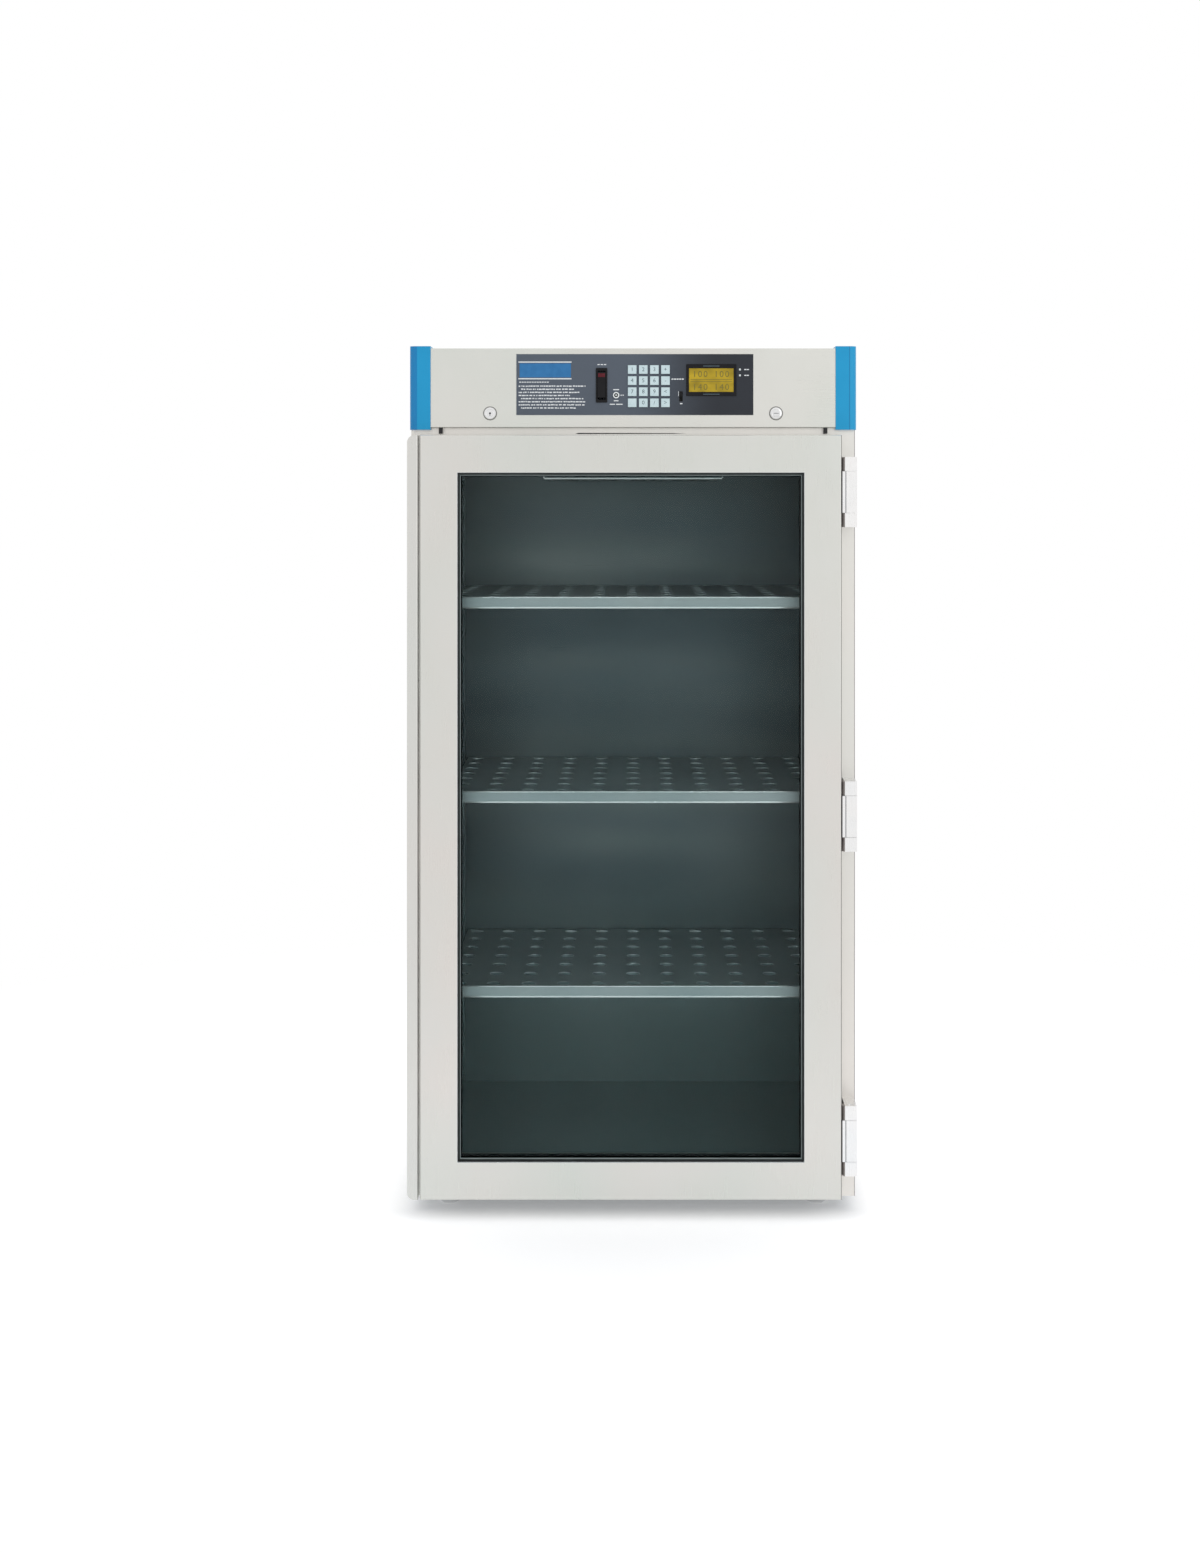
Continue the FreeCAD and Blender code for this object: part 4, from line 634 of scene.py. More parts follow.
# Moulded ABS with a satin face, saturated blue; the darker outer flank of the left cap and the
# dark line at the right cap's crease are painted shade.
CAP_PLASTIC = Moulded("blue moulded ABS", "#1fa1d6", "#189acf", roughness=0.34, texture_mm=0.7,
                      depth_mm=0.015, mottle_mm=70, specular=0.3, marks=(
                          ((-383.5, -291.0, 1340.0), (-370.0, -240.0, 1486.0), "#1283c0"),
                          ((370.3, -291.0, 1340.0), (371.5, -285.0, 1486.0), "#1779ad")))
# Printed polycarbonate film; its run from slate on the left to nearly black on the right is a
# painted reflection.
PANEL = PanelFilm("printed polycarbonate film", "#5c646f", "#36393f")
# Silicone key caps with a pale cyan body, satin.
KEY_PLASTIC = Moulded("pale silicone keys", "#d5e8ec", "#cbe0e5", roughness=0.45, texture_mm=0.5,
                      depth_mm=0.01, mottle_mm=14)
# Printed ink of the panel's marks: matt and nearly white.
PALE_INK = Moulded("pale screen ink", "#eef1f3", "#e4e8eb", roughness=0.6, mottle_mm=6)
# Printed ink of the keys: matt slate grey.
GREY_INK = Moulded("grey key ink", "#62747c", "#55676f", roughness=0.6, mottle_mm=6)
# Printed ink of the blank band: flat mid blue.
BLUE_INK = Moulded("blue screen ink", "#3b7db5", "#3474ab", roughness=0.5, mottle_mm=12,
                   specular=0.2)
# Segments of the display: olive, a little darker than the cell.
CELL_INK = Moulded("dark display segments", "#7b7122", "#6d641e", roughness=0.35, mottle_mm=8)
# Glossy black ABS: the rocker and the display's bezel.
BLACK_GLOSS = Moulded("glossy black ABS", "#17171a", "#1d1d1f", roughness=0.2, texture_mm=0.8,
                      depth_mm=0.004, mottle_mm=20, specular=0.15)
# Matt black nylon: the inlet and the small parts in shadow; its black ring in the window's gap and
# the sliver above the door are painted shade.
BLACK_NYLON = Moulded("matt black nylon", "#17181a", "#1d1e20", roughness=0.5, mottle_mm=15)
# Clear red lens over a lit lamp.
RED_LENS = Moulded("red acrylic lens", "#571822", "#641d28", roughness=0.3, mottle_mm=5,
                   specular=0.2)
# Extruded rubber, dusty grey and soft edged.
GREY_RUBBER = Moulded("grey silicone rubber", "#66706f", "#535b5a", roughness=0.55, depth_mm=0.03,
                      specular=0.3)
# Edge of the glazing bead, paler where it catches light.
PALE_BEAD = Moulded("pale edge of the bead", "#9aa6a6", "#8f9b9b", roughness=0.5, mottle_mm=20)
# Moulded rubber of the bumpers, black and without gloss.
BLACK_RUBBER = Moulded("black nitrile rubber", "#1b1c1d", "#222325", roughness=0.7, depth_mm=0.04)
# Polished chrome plate on locks, pins and feet: sharp, bright reflections.
CHROME = Moulded("polished chrome plate", "#e8e8e8", "#dddddd", roughness=0.14, depth_mm=0.003,
                 metallic=1.0)
# Steel collars around the locks, their darker tone painted shade.
DULL_RING = Moulded("steel collar with painted shade", "#949491", "#868683", metallic=0.8, mottle_mm=5)
# Plated steel screws, satin.
SCREW_STEEL = Moulded("satin plated screws", "#c3c4c4", "#b2b4b5", roughness=0.32, metallic=1.0,
                      mottle_mm=5)
# Mill finish aluminium of the fan wheel and the supply's case: grey and hazy.
ALUMINIUM = Moulded("mill finish aluminium", "#a9adb0", "#9da2a6", metallic=1.0, mottle_mm=30)
# Spacer bar between the panes, dark in its gap.
SPACER = Moulded("black anodised spacer bar", "#161c1d", "#1b2122", roughness=0.5, specular=0.2)
# Heat darkened steel of the strip heaters, straw to blue.
HEATER = Moulded("heat tinted steel", "#6e655c", "#54565e", roughness=0.45, metallic=1.0,
                 mottle_mm=30)
# Varnished laminations and enamelled copper wire; both patterns are drawn coarse enough to show.
IRON = Layered("varnished laminations", "#4d4f52", "#26272a", 1.6, Axis.Z)
COPPER = Layered("enamelled copper winding", "#b4673a", "#6d3a20", 1.2, Axis.Z, metallic=0.9,
                 roughness=0.3)
# Green board with lighter tracks.
BOARD = CircuitBoard("green solder mask")
# Tinned contacts, warm and bright.
GOLD_PIN = Moulded("tinned contacts", "#cfcabb", "#c2bca8", roughness=0.3, metallic=1.0,
                   mottle_mm=3)
# Clear, nearly free of reflections, so that the chamber is seen.
GLASS = ClearGlass("toughened float glass")
# Olive yellow display cell that glows faintly.
CELL = BacklitDisplay("backlit display cell")
# Milky lenses of unlit indicators.
LAMP = Moulded("milky indicator lens", "#e6ecec", "#dbe3e3", roughness=0.3, mottle_mm=3)


# ---------------------------------------------------------------- mesh building

def frame_outline(left: float, right: float, low: float, high: float,
                  corner: float = 0.0) -> list[Point]:
    """Outline a rectangle, its corners rounded or not.

    Args:
        left: Lower limit across.
        right: Upper limit across.
        low: Lower limit up.
        high: Upper limit up.
        corner: Radius of the corners; none if zero.

    Returns:
        The outline's points.
    """
    if corner <= 0:
        return [(left, low), (right, low), (right, high), (left, high)]
    points = []
    for x, z, start in ((right - corner, low + corner, 270), (right - corner, high - corner, 0),
                        (left + corner, high - corner, 90), (left + corner, low + corner, 180)):
        for step in range(6):
            turn = math.radians(start + 90 * step / 5)
            points.append((x + corner * math.cos(turn), z + corner * math.sin(turn)))
    return points


def new_object(name: str, data: bpy.types.ID) -> bpy.types.Object:
    """Add an object to the scene.

    Args:
        name: The object's name.
        data: Its mesh, curve, light or camera.

    Returns:
        The new object.
    """
    made = bpy.data.objects.new(name, data)
    bpy.context.scene.collection.objects.link(made)
    return made


def evaluated(holder: bpy.types.Object) -> bpy.types.Mesh:
    """Keep what an object's curve or modifiers make, and remove the object.

    Args:
        holder: The object, which is removed.

    Returns:
        The plain mesh.
    """
    bpy.context.view_layer.update()
    mesh = bpy.data.meshes.new_from_object(
        holder.evaluated_get(bpy.context.evaluated_depsgraph_get()))
    bpy.data.batch_remove((holder, holder.data))
    return mesh


def finished(work: bmesh.types.BMesh, name: str) -> bpy.types.Mesh:
    """Turn a working mesh into a mesh whose flat faces stay crisp.

    Args:
        work: The working mesh, which is freed.
        name: The mesh's name.

    Returns:
        The mesh.
    """
    mesh = bpy.data.meshes.new(name)
    work.to_mesh(mesh)
    work.free()
    mesh.shade_smooth()
    mesh.set_sharp_from_angle(angle=CRISP_ANGLE)
    return mesh


def join_meshes(name: str, meshes: Iterable[bpy.types.Mesh]) -> bpy.types.Mesh:
    """Put several meshes into one.

    Args:
        name: The joined mesh's name.
        meshes: The meshes, which are removed.

    Returns:
        The joined mesh.
    """
    work = bmesh.new()
    for mesh in meshes:
        work.from_mesh(mesh)
        bpy.data.meshes.remove(mesh)
    return finished(work, name)


class Shape:
    """A mesh under construction, in millimetres in the cabinet's frame."""

    def __init__(self) -> None:
        """Start with an empty mesh."""
        self.mesh = bmesh.new()

    def box(self, low: Place, high: Place, rounding: float = 0.0, steps: int = 2) -> "Shape":
        """Add a box between two corners, its edges rounded.

        Args:
            low: Corner with the lowest values.
            high: Corner with the highest values.
            rounding: Radius of the edges; sharp if zero.
            steps: Faces across each rounded edge.

        Returns:
            The shape itself.
        """
        made = bmesh.ops.create_cube(self.mesh, size=1.0)["verts"]
        bmesh.ops.scale(self.mesh, vec=[b - a for a, b in zip(low, high)], verts=made)
        bmesh.ops.translate(self.mesh, vec=[(a + b) / 2 for a, b in zip(low, high)], verts=made)
        if rounding > 0:
            edges = list({edge for vert in made for edge in vert.link_edges})
            bmesh.ops.bevel(self.mesh, geom=edges, offset=rounding, segments=steps,
                            affect="EDGES", profile=0.5)
        return self

    def band(self, first: Sequence[Any], second: Sequence[Any]) -> list[Any]:
        """Add the faces between two closed rings of points and return them.

        Args:
            first: Points of one ring.
            second: Points of the other, as many.

        Returns:
            The new faces.
        """
        count = len(first)
        return [self.mesh.faces.new((first[number], first[(number + 1) % count],
                                     second[(number + 1) % count], second[number]))
                for number in range(count)]

    def turned(self, axis: Axis, centre: Point, profile: Outline, sides: int = 32,
               hollow: bool = False) -> "Shape":
        """Add a turned solid: rings of (radius, level) from one end to the other.

        Args:
            axis: The axis it is turned about.
            centre: Its place on the other two axes, in their order.
            profile: Radius and level of each ring.
            sides: Points on each ring.
            hollow: Whether the two ends join into a ring wall; else they are closed.

        Returns:
            The shape itself.
        """
        others = [number for number in range(3) if number != axis.value]
        rings = []
        for radius, level in profile:
            rings.append([])
            for step in range(sides):
                place = [0.0, 0.0, 0.0]
                turn = math.tau * step / sides
                place[others[0]] = centre[0] + radius * math.cos(turn)
                place[others[1]] = centre[1] + radius * math.sin(turn)
                place[axis.value] = level
                rings[-1].append(self.mesh.verts.new(place))
        faces = [] if hollow else [self.mesh.faces.new(rings[0]), self.mesh.faces.new(rings[-1])]
        for first, second in zip(rings, rings[1:] + (rings[:1] if hollow else [])):
            faces += self.band(first, second)
        bmesh.ops.recalc_face_normals(self.mesh, faces=faces)
        return self

    def plate(self, axis: Axis, span: Point, outline: Outline,
              holes: Iterable[Outline] = ()) -> "Shape":
        """Add a flat plate with openings.

        Args:
            axis: The plate's thickness runs along this axis.
            span: Its lower and upper level on that axis.
            outline: Its edge, on the other two axes in their order.
            holes: Outlines cut through it.

        Returns:
            The shape itself.
        """
        curve = bpy.data.curves.new("plate outline", "CURVE")
        curve.dimensions = "2D"
        curve.fill_mode = "BOTH"
        curve.extrude = abs(span[1] - span[0]) / 2
        for loop in (outline, *holes):
            spline = curve.splines.new("POLY")
            spline.points.add(len(loop) - 1)
            spline.use_cyclic_u = True
            for point, (across, up) in zip(spline.points, loop):
                point.co = (across, up, 0, 1)
        return self.stand(curve, axis, sum(span) / 2)

    def words(self, text: str, level: float, thick: float, size: float, middle: Point,
              spacing: float = 1.0) -> "Shape":
        """Add plain numerals or signs as a thin raised print facing -Y.

        Args:
            text: What is printed.
            level: Middle of its thickness.
            thick: Its thickness.
            size: Height of the type.
            middle: Where the print's middle lies.
            spacing: Distance between signs, one being the type's own.

        Returns:
            The shape itself.
        """
        curve = bpy.data.curves.new("print", "FONT")
        curve.body = text
        curve.size = size
        curve.extrude = thick / 2
        curve.resolution_u = 3
        curve.space_character = spacing
        curve.align_x, curve.align_y = "CENTER", "CENTER"
        return self.stand(curve, Axis.Y, level, middle)

    def stand(self, curve: bpy.types.Curve, axis: Axis, level: float,
              middle: Point = (0.0, 0.0)) -> "Shape":
        """Stand a flat curve up in the plane across an axis and add it as a mesh.

        Args:
            curve: The flat curve, which is removed.
            axis: The axis across the plane.
            level: Place on that axis.
            middle: Where the curve's origin goes in the plane.

        Returns:
            The shape itself.
        """
        mesh = evaluated(new_object("flat curve", curve))
        spin = {Axis.X: Matrix(((0, 0, 1), (1, 0, 0), (0, 1, 0))),
                Axis.Y: Matrix(((1, 0, 0), (0, 0, -1), (0, 1, 0))),
                Axis.Z: Matrix.Identity(3)}[axis]
        place = spin.to_4x4()
        place.translation = spin @ Vector((*middle, 0))
        place.translation[axis.value] += level
        mesh.transform(place)
        self.mesh.from_mesh(mesh)
        bpy.data.meshes.remove(mesh)
        return self

    def to_mesh(self, name: str) -> bpy.types.Mesh:
        """Finish the shape as a mesh in metres.

        Args:
            name: The mesh's name.

        Returns:
            The mesh, its flat faces crisp.
        """
        bmesh.ops.remove_doubles(self.mesh, verts=self.mesh.verts, dist=0.0005)
        bmesh.ops.dissolve_degenerate(self.mesh, edges=self.mesh.edges, dist=0.0002)
        bmesh.ops.recalc_face_normals(self.mesh, faces=self.mesh.faces)
        bmesh.ops.scale(self.mesh, vec=(MM, MM, MM), verts=self.mesh.verts)
        return finished(self.mesh, name)

    def place(self, name: str, finish: Finish, body: str, slot: str) -> bpy.types.Object:
        """Make the shape a piece of the cabinet."""
        return place_piece(self.to_mesh(name), name, finish, body, slot)


def place_piece(mesh: bpy.types.Mesh, name: str, finish: Finish, body: str, slot: str,
                *stands_for: str) -> bpy.types.Object:
    """Make a mesh a piece of the cabinet.

    Args:
        mesh: The finished mesh, in metres.
        name: The piece's name.
        finish: Its finish.
        body: The body it rides on.
        slot: The material slot that it belongs to.
        *stands_for: Nodes that it replaces.

    Returns:
        The new object.
    """
    piece = new_object(name, mesh)
    mesh.materials.clear()
    mesh.materials.append(finish.material())
    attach(piece, body)
    if stands_for:
        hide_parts(*stands_for)
    log.info("%s: %d faces on %s", name, len(mesh.polygons), body)
    return piece


def dress(finish: Finish, *nodes: str) -> None:
    """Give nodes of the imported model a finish.

    Args:
        finish: The finish.
        *nodes: Names of the nodes.
    """
    for name in nodes:
        for slot in frame["nodes"][name].material_slots:
            slot.material = finish.material()
        log.info("%s: %s", name, finish.name)


# ---------------------------------------------------------------- node trees for what repeats

def new_tree(name: str, inputs: Mapping[str, str]) -> tuple[Tree, Any]:
    """Start a geometry tree with named inputs.

    Args:
        name: The tree's name.
        inputs: Input names with their socket types.

    Returns:
        The tree and its input's sockets.
    """
    tree = bpy.data.node_groups.new(name, "GeometryNodeTree")
    for label, kind in inputs.items():
        tree.interface.new_socket(name=label, in_out="INPUT", socket_type=kind)
    tree.interface.new_socket(name="Geometry", in_out="OUTPUT",
                              socket_type="NodeSocketGeometry")
    return tree, add(tree, "NodeGroupInput").outputs


def close_tree(tree: Tree, geometry: bpy.types.Node, finish: Socket) -> Tree:
    """End a tree with real geometry and its material.

    Args:
        tree: The tree.
        geometry: The node that makes the geometry.
        finish: The output that holds the material.

    Returns:
        The tree itself.
    """
    real = add(tree, "GeometryNodeRealizeInstances", {"Geometry": geometry})
    done = add(tree, "GeometryNodeSetMaterial", {"Geometry": real, "Material": finish})
    add(tree, "NodeGroupOutput", {"Geometry": done})
    return tree


def perforation_tree() -> Tree:
    """Lay out a flat sheet with a field of round holes, closed on both faces.

    Returns:
        The tree.
    """
    lengths = ("Width", "Depth", "Gauge", "Hole Radius", "Pitch Across", "Pitch Deep",
               "Shift Deep")
    tree, put = new_tree("perforated sheet", {
        **dict.fromkeys(lengths, "NodeSocketFloat"),
        **dict.fromkeys(("Holes Across", "Holes Deep", "Hole Sides"), "NodeSocketInt"),
        "Finish": "NodeSocketMaterial"})

    def row(way: str) -> bpy.types.Node:
        """Length of a row from its first hole to its last."""
        gaps = add(tree, "ShaderNodeMath", {0: put[f"Holes {way}"], 1: 1.0}, operation="SUBTRACT")
        return add(tree, "ShaderNodeMath", {0: gaps, 1: put[f"Pitch {way}"]}, operation="MULTIPLY")

    field = add(tree, "GeometryNodeMeshGrid", {
        "Size X": row("Across"), "Size Y": row("Deep"),
        "Vertices X": put["Holes Across"], "Vertices Y": put["Holes Deep"]})
    shift = add(tree, "ShaderNodeCombineXYZ", {1: put["Shift Deep"]})
    moved = add(tree, "GeometryNodeTransform", {"Geometry": field, "Translation": shift})
    hole = add(tree, "GeometryNodeCurvePrimitiveCircle",
               {"Resolution": put["Hole Sides"], "Radius": put["Hole Radius"]})
    holes = add(tree, "GeometryNodeInstanceOnPoints", {"Points": moved, "Instance": hole})
    real_holes = add(tree, "GeometryNodeRealizeInstances", {"Geometry": holes})
    edge = add(tree, "GeometryNodeCurvePrimitiveQuadrilateral",
               {"Width": put["Width"], "Height": put["Depth"]})
    loops = add(tree, "GeometryNodeJoinGeometry", {"Geometry": [real_holes, edge]})
    face = add(tree, "GeometryNodeFillCurve", {"Curve": loops})
    raised = add(tree, "GeometryNodeExtrudeMesh",
                 {"Mesh": face, "Offset Scale": put["Gauge"], "Individual": False})
    under = add(tree, "GeometryNodeFlipFaces", {"Mesh": face})
    both = add(tree, "GeometryNodeJoinGeometry", {"Geometry": [raised, under]})
    closed = add(tree, "GeometryNodeMergeByDistance", {"Geometry": both, "Distance": 0.00001})
    return close_tree(tree, closed, put["Finish"])


def repeat_tree() -> Tree:
    """Put copies of one small pattern piece at the points that are given.

    Returns:
        The tree.
    """
    tree, put = new_tree("repeat at points", {
        "Points": "NodeSocketGeometry", "Pattern": "NodeSocketObject",
        "Finish": "NodeSocketMaterial"})
    pattern = add(tree, "GeometryNodeObjectInfo", {"Object": put["Pattern"]})
    copies = add(tree, "GeometryNodeInstanceOnPoints",
                 {"Points": put["Points"], "Instance": pattern.outputs["Geometry"]})
    return close_tree(tree, copies, put["Finish"])


def grow(tree: Tree, values: Mapping[str, Any], base: bpy.types.Mesh) -> bpy.types.Mesh:
    """Run a geometry tree and keep what it makes as a plain mesh.

    Args:
        tree: The tree.
        values: Input names with their values.
        base: Mesh that the modifier works on.

    Returns:
        The evaluated mesh.
    """
    holder = new_object("tree holder", base)
    modifier = holder.modifiers.new("tree", "NODES")
    modifier.node_group = tree
    for item in tree.interface.items_tree:
        if item.item_type == "SOCKET" and item.in_out == "INPUT" and item.name in values:
            modifier[item.identifier] = values[item.name]
    return evaluated(holder)


@dataclass
class Workshop:
    """The shared trees, and what is made with them."""

    perforation: Tree
    repeater: Tree

    def repeated(self, pattern: Shape, points: Iterable[Place], name: str, body: str, slot: str,
                 finish: Finish = SCREW_STEEL) -> None:
        """Place one piece made of copies of a pattern.

        Args:
            pattern: The pattern piece, around its own origin.
            points: Where the copies go, in millimetres.
            name: The piece's name.
            body: The body it rides on.
            slot: The material slot that it belongs to.
            finish: Its finish.
        """
        seed = new_object("pattern", pattern.to_mesh("pattern"))
        cloud = bpy.data.meshes.new("points")
        cloud.from_pydata([[value * MM for value in point] for point in points], [], [])
        mesh = grow(self.repeater, {"Pattern": seed, "Finish": finish.material()}, cloud)
        mesh.name = name
        bpy.data.batch_remove((seed, seed.data))
        place_piece(mesh, name, finish, body, slot)

    def sheet(self, size: Place, radius: float, pitch: Point, counts: tuple[int, int],
              shift: float, finish: Finish) -> bpy.types.Mesh:
        """Make a perforated sheet lying flat around the origin, its underside at zero.

        Args:
            size: Width, depth and gauge in millimetres.
            radius: Radius of the holes.
            pitch: Spacing of the holes across and deep.
            counts: Number of holes across and deep.
            shift: How far the field lies from the sheet's middle.
            finish: Its finish.

        Returns:
            The mesh in metres.
        """
        lengths = {"Width": size[0], "Depth": size[1], "Gauge": size[2], "Hole Radius": radius,
                   "Pitch Across": pitch[0], "Pitch Deep": pitch[1], "Shift Deep": shift}
        return grow(self.perforation, {
            **{name: value * MM for name, value in lengths.items()}, "Holes Across": counts[0],
            "Holes Deep": counts[1], "Hole Sides": 26, "Finish": finish.material()},
            bpy.data.meshes.new("seed"))


def screw_head(axis: Axis, radius: float = 3.6, rise: float = 1.6) -> Shape:
    """Make a low domed screw head with a socket, around the origin.

    Args:
        axis: The axis the head looks along.
        radius: Radius of the head.
        rise: Height of the head.

    Returns:
        The head's shape.
    """
    step = [(radius, 0.0), (radius, rise * 0.35), (radius * 0.86, rise * 0.8),
            (radius * 0.6, rise), (radius * 0.36, rise), (radius * 0.34, rise * 0.35)]
    return Shape().turned(axis, (0.0, 0.0), step, 16)


# ---------------------------------------------------------------- shelves

@dataclass
class Shelf:
    """Lift-out shelf: perforated sheet, deep folded front lip, hemmed sides, rear upstand."""

    name: str
    level: float
    half: float = 323.0
    front: float = -254.5
    rear: float = 275.5
    gauge: float = 1.5
    lip: float = 20.0
    side: float = 16.0
    hem: float = 10.0
    bend: float = 2.2
    hole: float = 12.3
    pitch: Point = (60.5, 80.0)
    counts: tuple[int, int] = (11, 7)
    first_row: float = 25.0
    highlight_rise: float = 2.8

    def build(self, shop: Workshop) -> None:
        """Make the shelf as one piece in place of its plain solid.

        Args:
            shop: The shared trees.
        """
        depth = self.rear - self.front
        field = self.first_row + self.pitch[1] * (self.counts[1] - 1) / 2 - depth / 2
        sheet = shop.sheet((self.half * 2 - 2, depth - 2.4, self.gauge), self.hole, self.pitch,
                           self.counts, field, SHELF_SHEET)
        sheet.transform(Matrix.Translation(
            (0, (self.front + self.rear) / 2 * MM, (self.level - self.gauge) * MM)))
        low, foot = self.level - self.lip, self.level - self.side
        folds = Shape()
        folds.plate(Axis.X, (-self.half, self.half),
                    self.folded(self.front, 1, low, self.lip, self.hem))
        folds.plate(Axis.X, (-self.half, self.half),
                    self.folded(self.rear, -1, foot, self.side, 1.0))
        for sign in (-1, 1):
            folds.plate(Axis.Y, (self.front + 2, self.rear - 2),
                        self.folded(self.half * sign, -sign, foot, self.side, self.hem))
        mesh = join_meshes(self.name, [sheet, folds.to_mesh("folds")])
        place_piece(mesh, f"{self.name}_perforated", SHELF_SHEET, self.name, "chamber_steel",
                    self.name)
        # Painted highlight: bright bands along the foot and the top bend of the front lip.
        edges = Shape()
        for start, end in ((low, low + self.highlight_rise), (self.level - 1.6, self.level + 0.1)):
            edges.box((-self.half, self.front - 0.3, start), (self.half, self.front + 1.2, end),
                      0.3)
        edges.place(f"{self.name}_lip_edges", PAINTED_HIGHLIGHT, self.name, "chamber_steel")

    def folded(self, edge: float, inward: int, low: float, tall: float,
               hem: float) -> list[Point]:
        """Section of a fold: a rounded top bend, a wall and a short hem at its foot.

        Args:
            edge: Outer face of the wall.
            inward: Which way the sheet lies from the wall, 1 or -1.
            low: Foot of the wall.
            tall: Height of the wall.
            hem: How far the hem turns in.

        Returns:
            The section's outline, across and up.
        """
        def arc(radius: float, steps: Iterable[int]) -> list[Point]:
            """Points of the bend, fifteen degrees apart."""
            return [(edge + inward * (self.bend - radius * math.sin(math.radians(15 * step))),
                     low + tall - self.bend + radius * math.cos(math.radians(15 * step)))
                    for step in steps]

        wall, tip = edge + inward * self.gauge, edge + inward * hem
        foot = [(edge, low), (wall, low)]
        if hem > self.gauge:
            foot = [(edge, low), (tip, low), (tip, low + self.gauge), (wall, low + self.gauge)]
        return arc(self.bend, range(7)) + foot + arc(self.bend - self.gauge, range(6, -1, -1))


# ---------------------------------------------------------------- air system

@dataclass
class AirBox:
    """Folded intake box under the fan, with round holes in front."""

    half: float = 158.0
    front: float = -158.5
    rear: float = 157.5
    low: float = 1258.0
    high: float = 1290.0
    gauge: float = 1.2
    hole: float = 11.0
    pitch: float = 37.5
    holes: int = 8
    slot_pitch: float = 18.0
    slot_half: float = 4.5
    slot_reach: float = 64.0

    def build(self, shop: Workshop) -> None:
        """Make the box from five sheets in place of its plain solid, and its lip in painted
        highlight.

        Args:
            shop: The shared trees.
        """
        half, front, rear, low, high = self.half, self.front, self.rear, self.low, self.high
        middle = (low + high) / 2
        face = shop.sheet((half * 2 - 2, high - low - 2, self.gauge), self.hole,
                          (self.pitch, self.pitch), (self.holes, 1), 0.0, CHAMBER_SHEET)
        face.transform(Matrix.Translation((0, (front + self.gauge) * MM, middle * MM))
                       @ Matrix.Rotation(math.pi / 2, 4, "X"))
        tall, wide = self.hole * 0.7, self.pitch * 1.2
        outlets = [frame_outline(shift - wide, shift + wide, middle - tall, middle + tall, 4)
                   for shift in (self.pitch * share for share in (-2.7, 0, 2.7))]
        rest = Shape()
        rest.plate(Axis.Y, (rear - self.gauge, rear), frame_outline(-half, half, low, high),
                   outlets)
        for sign in (-1, 1):
            rest.plate(Axis.X, tuple(sorted((half * sign, (half - self.gauge) * sign))),
                       frame_outline(front, rear, low, high),
                       [[(FAN + x, z) for x, z in outlet] for outlet in outlets])
        slots = []
        for number in range(-3, 4):
            x, reach = self.slot_pitch * number, self.slot_reach * math.cos(number / 4)
            slots.append(frame_outline(x - self.slot_half, x + self.slot_half, FAN - reach,
                                       FAN + reach, 4.4))
        rest.plate(Axis.Z, (low, low + self.gauge),
                   frame_outline(-half + 0.1, half - 0.1, front + 1.2, rear - 0.1), slots)
        rest.box((-half, front, high - 1.2), (half, front + 1.2, high))
        place_piece(join_meshes("air box", [face, rest.to_mesh("rest")]),
                    "ceiling_baffle_perforated", CHAMBER_SHEET, "cabinet", "chamber_steel",
                    "ceiling_baffle")
        # The lip along the front's foot and its two short uprights carry a painted highlight.
        lip = Shape().box((-half, front - 0.4, low), (half, front + 3, low + 4.0), 1.2, 3)
        for x in (-half, half):
            lip.box((x - 1.2, front - 0.4, low + 3), (x + 1.2, front + 1, high - 6), 0.3)
        lip.place("ceiling_baffle_lip", PAINTED_HIGHLIGHT, "cabinet", "chamber_steel")


@dataclass
class FanAndHeat:
    """Fan motor, wheel and strip heaters on the deck, with their small parts."""

    half_wide: float = 42.0
    deep: float = 35.0
    low: float = 1362.0
    high: float = 1392.0
    strip: float = 118.0

    def build(self, shop: Workshop) -> None:
        """Dress the solids and add the motor's winding and the screws.

        Args:
            shop: The shared trees.
        """
        dress(IRON, "blower_motor")
        dress(ALUMINIUM, "blower_wheel")
        dress(HEATER, "heater_strips")
        dress(CHROME, "air_probe")
        start, end = FAN - self.deep / 2 - 1, FAN + self.deep / 2 + 1
        coil = Shape()
        coil.box((-self.half_wide - 7.5, start, self.low - 11),
                 (-self.half_wide - 5.9, end, self.high + 11), 0.7)
        coil.box((-self.half_wide - 6.5, start, self.high + 9.5),
                 (-self.half_wide + 16.5, end, self.high + 11.5), 0.9)
        coil.place("motor_winding", COPPER, "cabinet", "motor_iron")
        shop.repeated(screw_head(Axis.Z), [
            (x, FAN + y, self.high) for x in (-14, 34) for y in (-27, 27)],
            "motor_bolts", "cabinet", "motor_iron")
        shop.repeated(screw_head(Axis.Z, 2.4, 1.2), [
            (self.strip * side + shift, FAN + 80 * end, DECK + 3)
            for side in (-1, 1) for end in (-1, 1) for shift in (-8, 8)],
            "heater_screws", "cabinet", "heater_steel")


# ---------------------------------------------------------------- cabinet shell

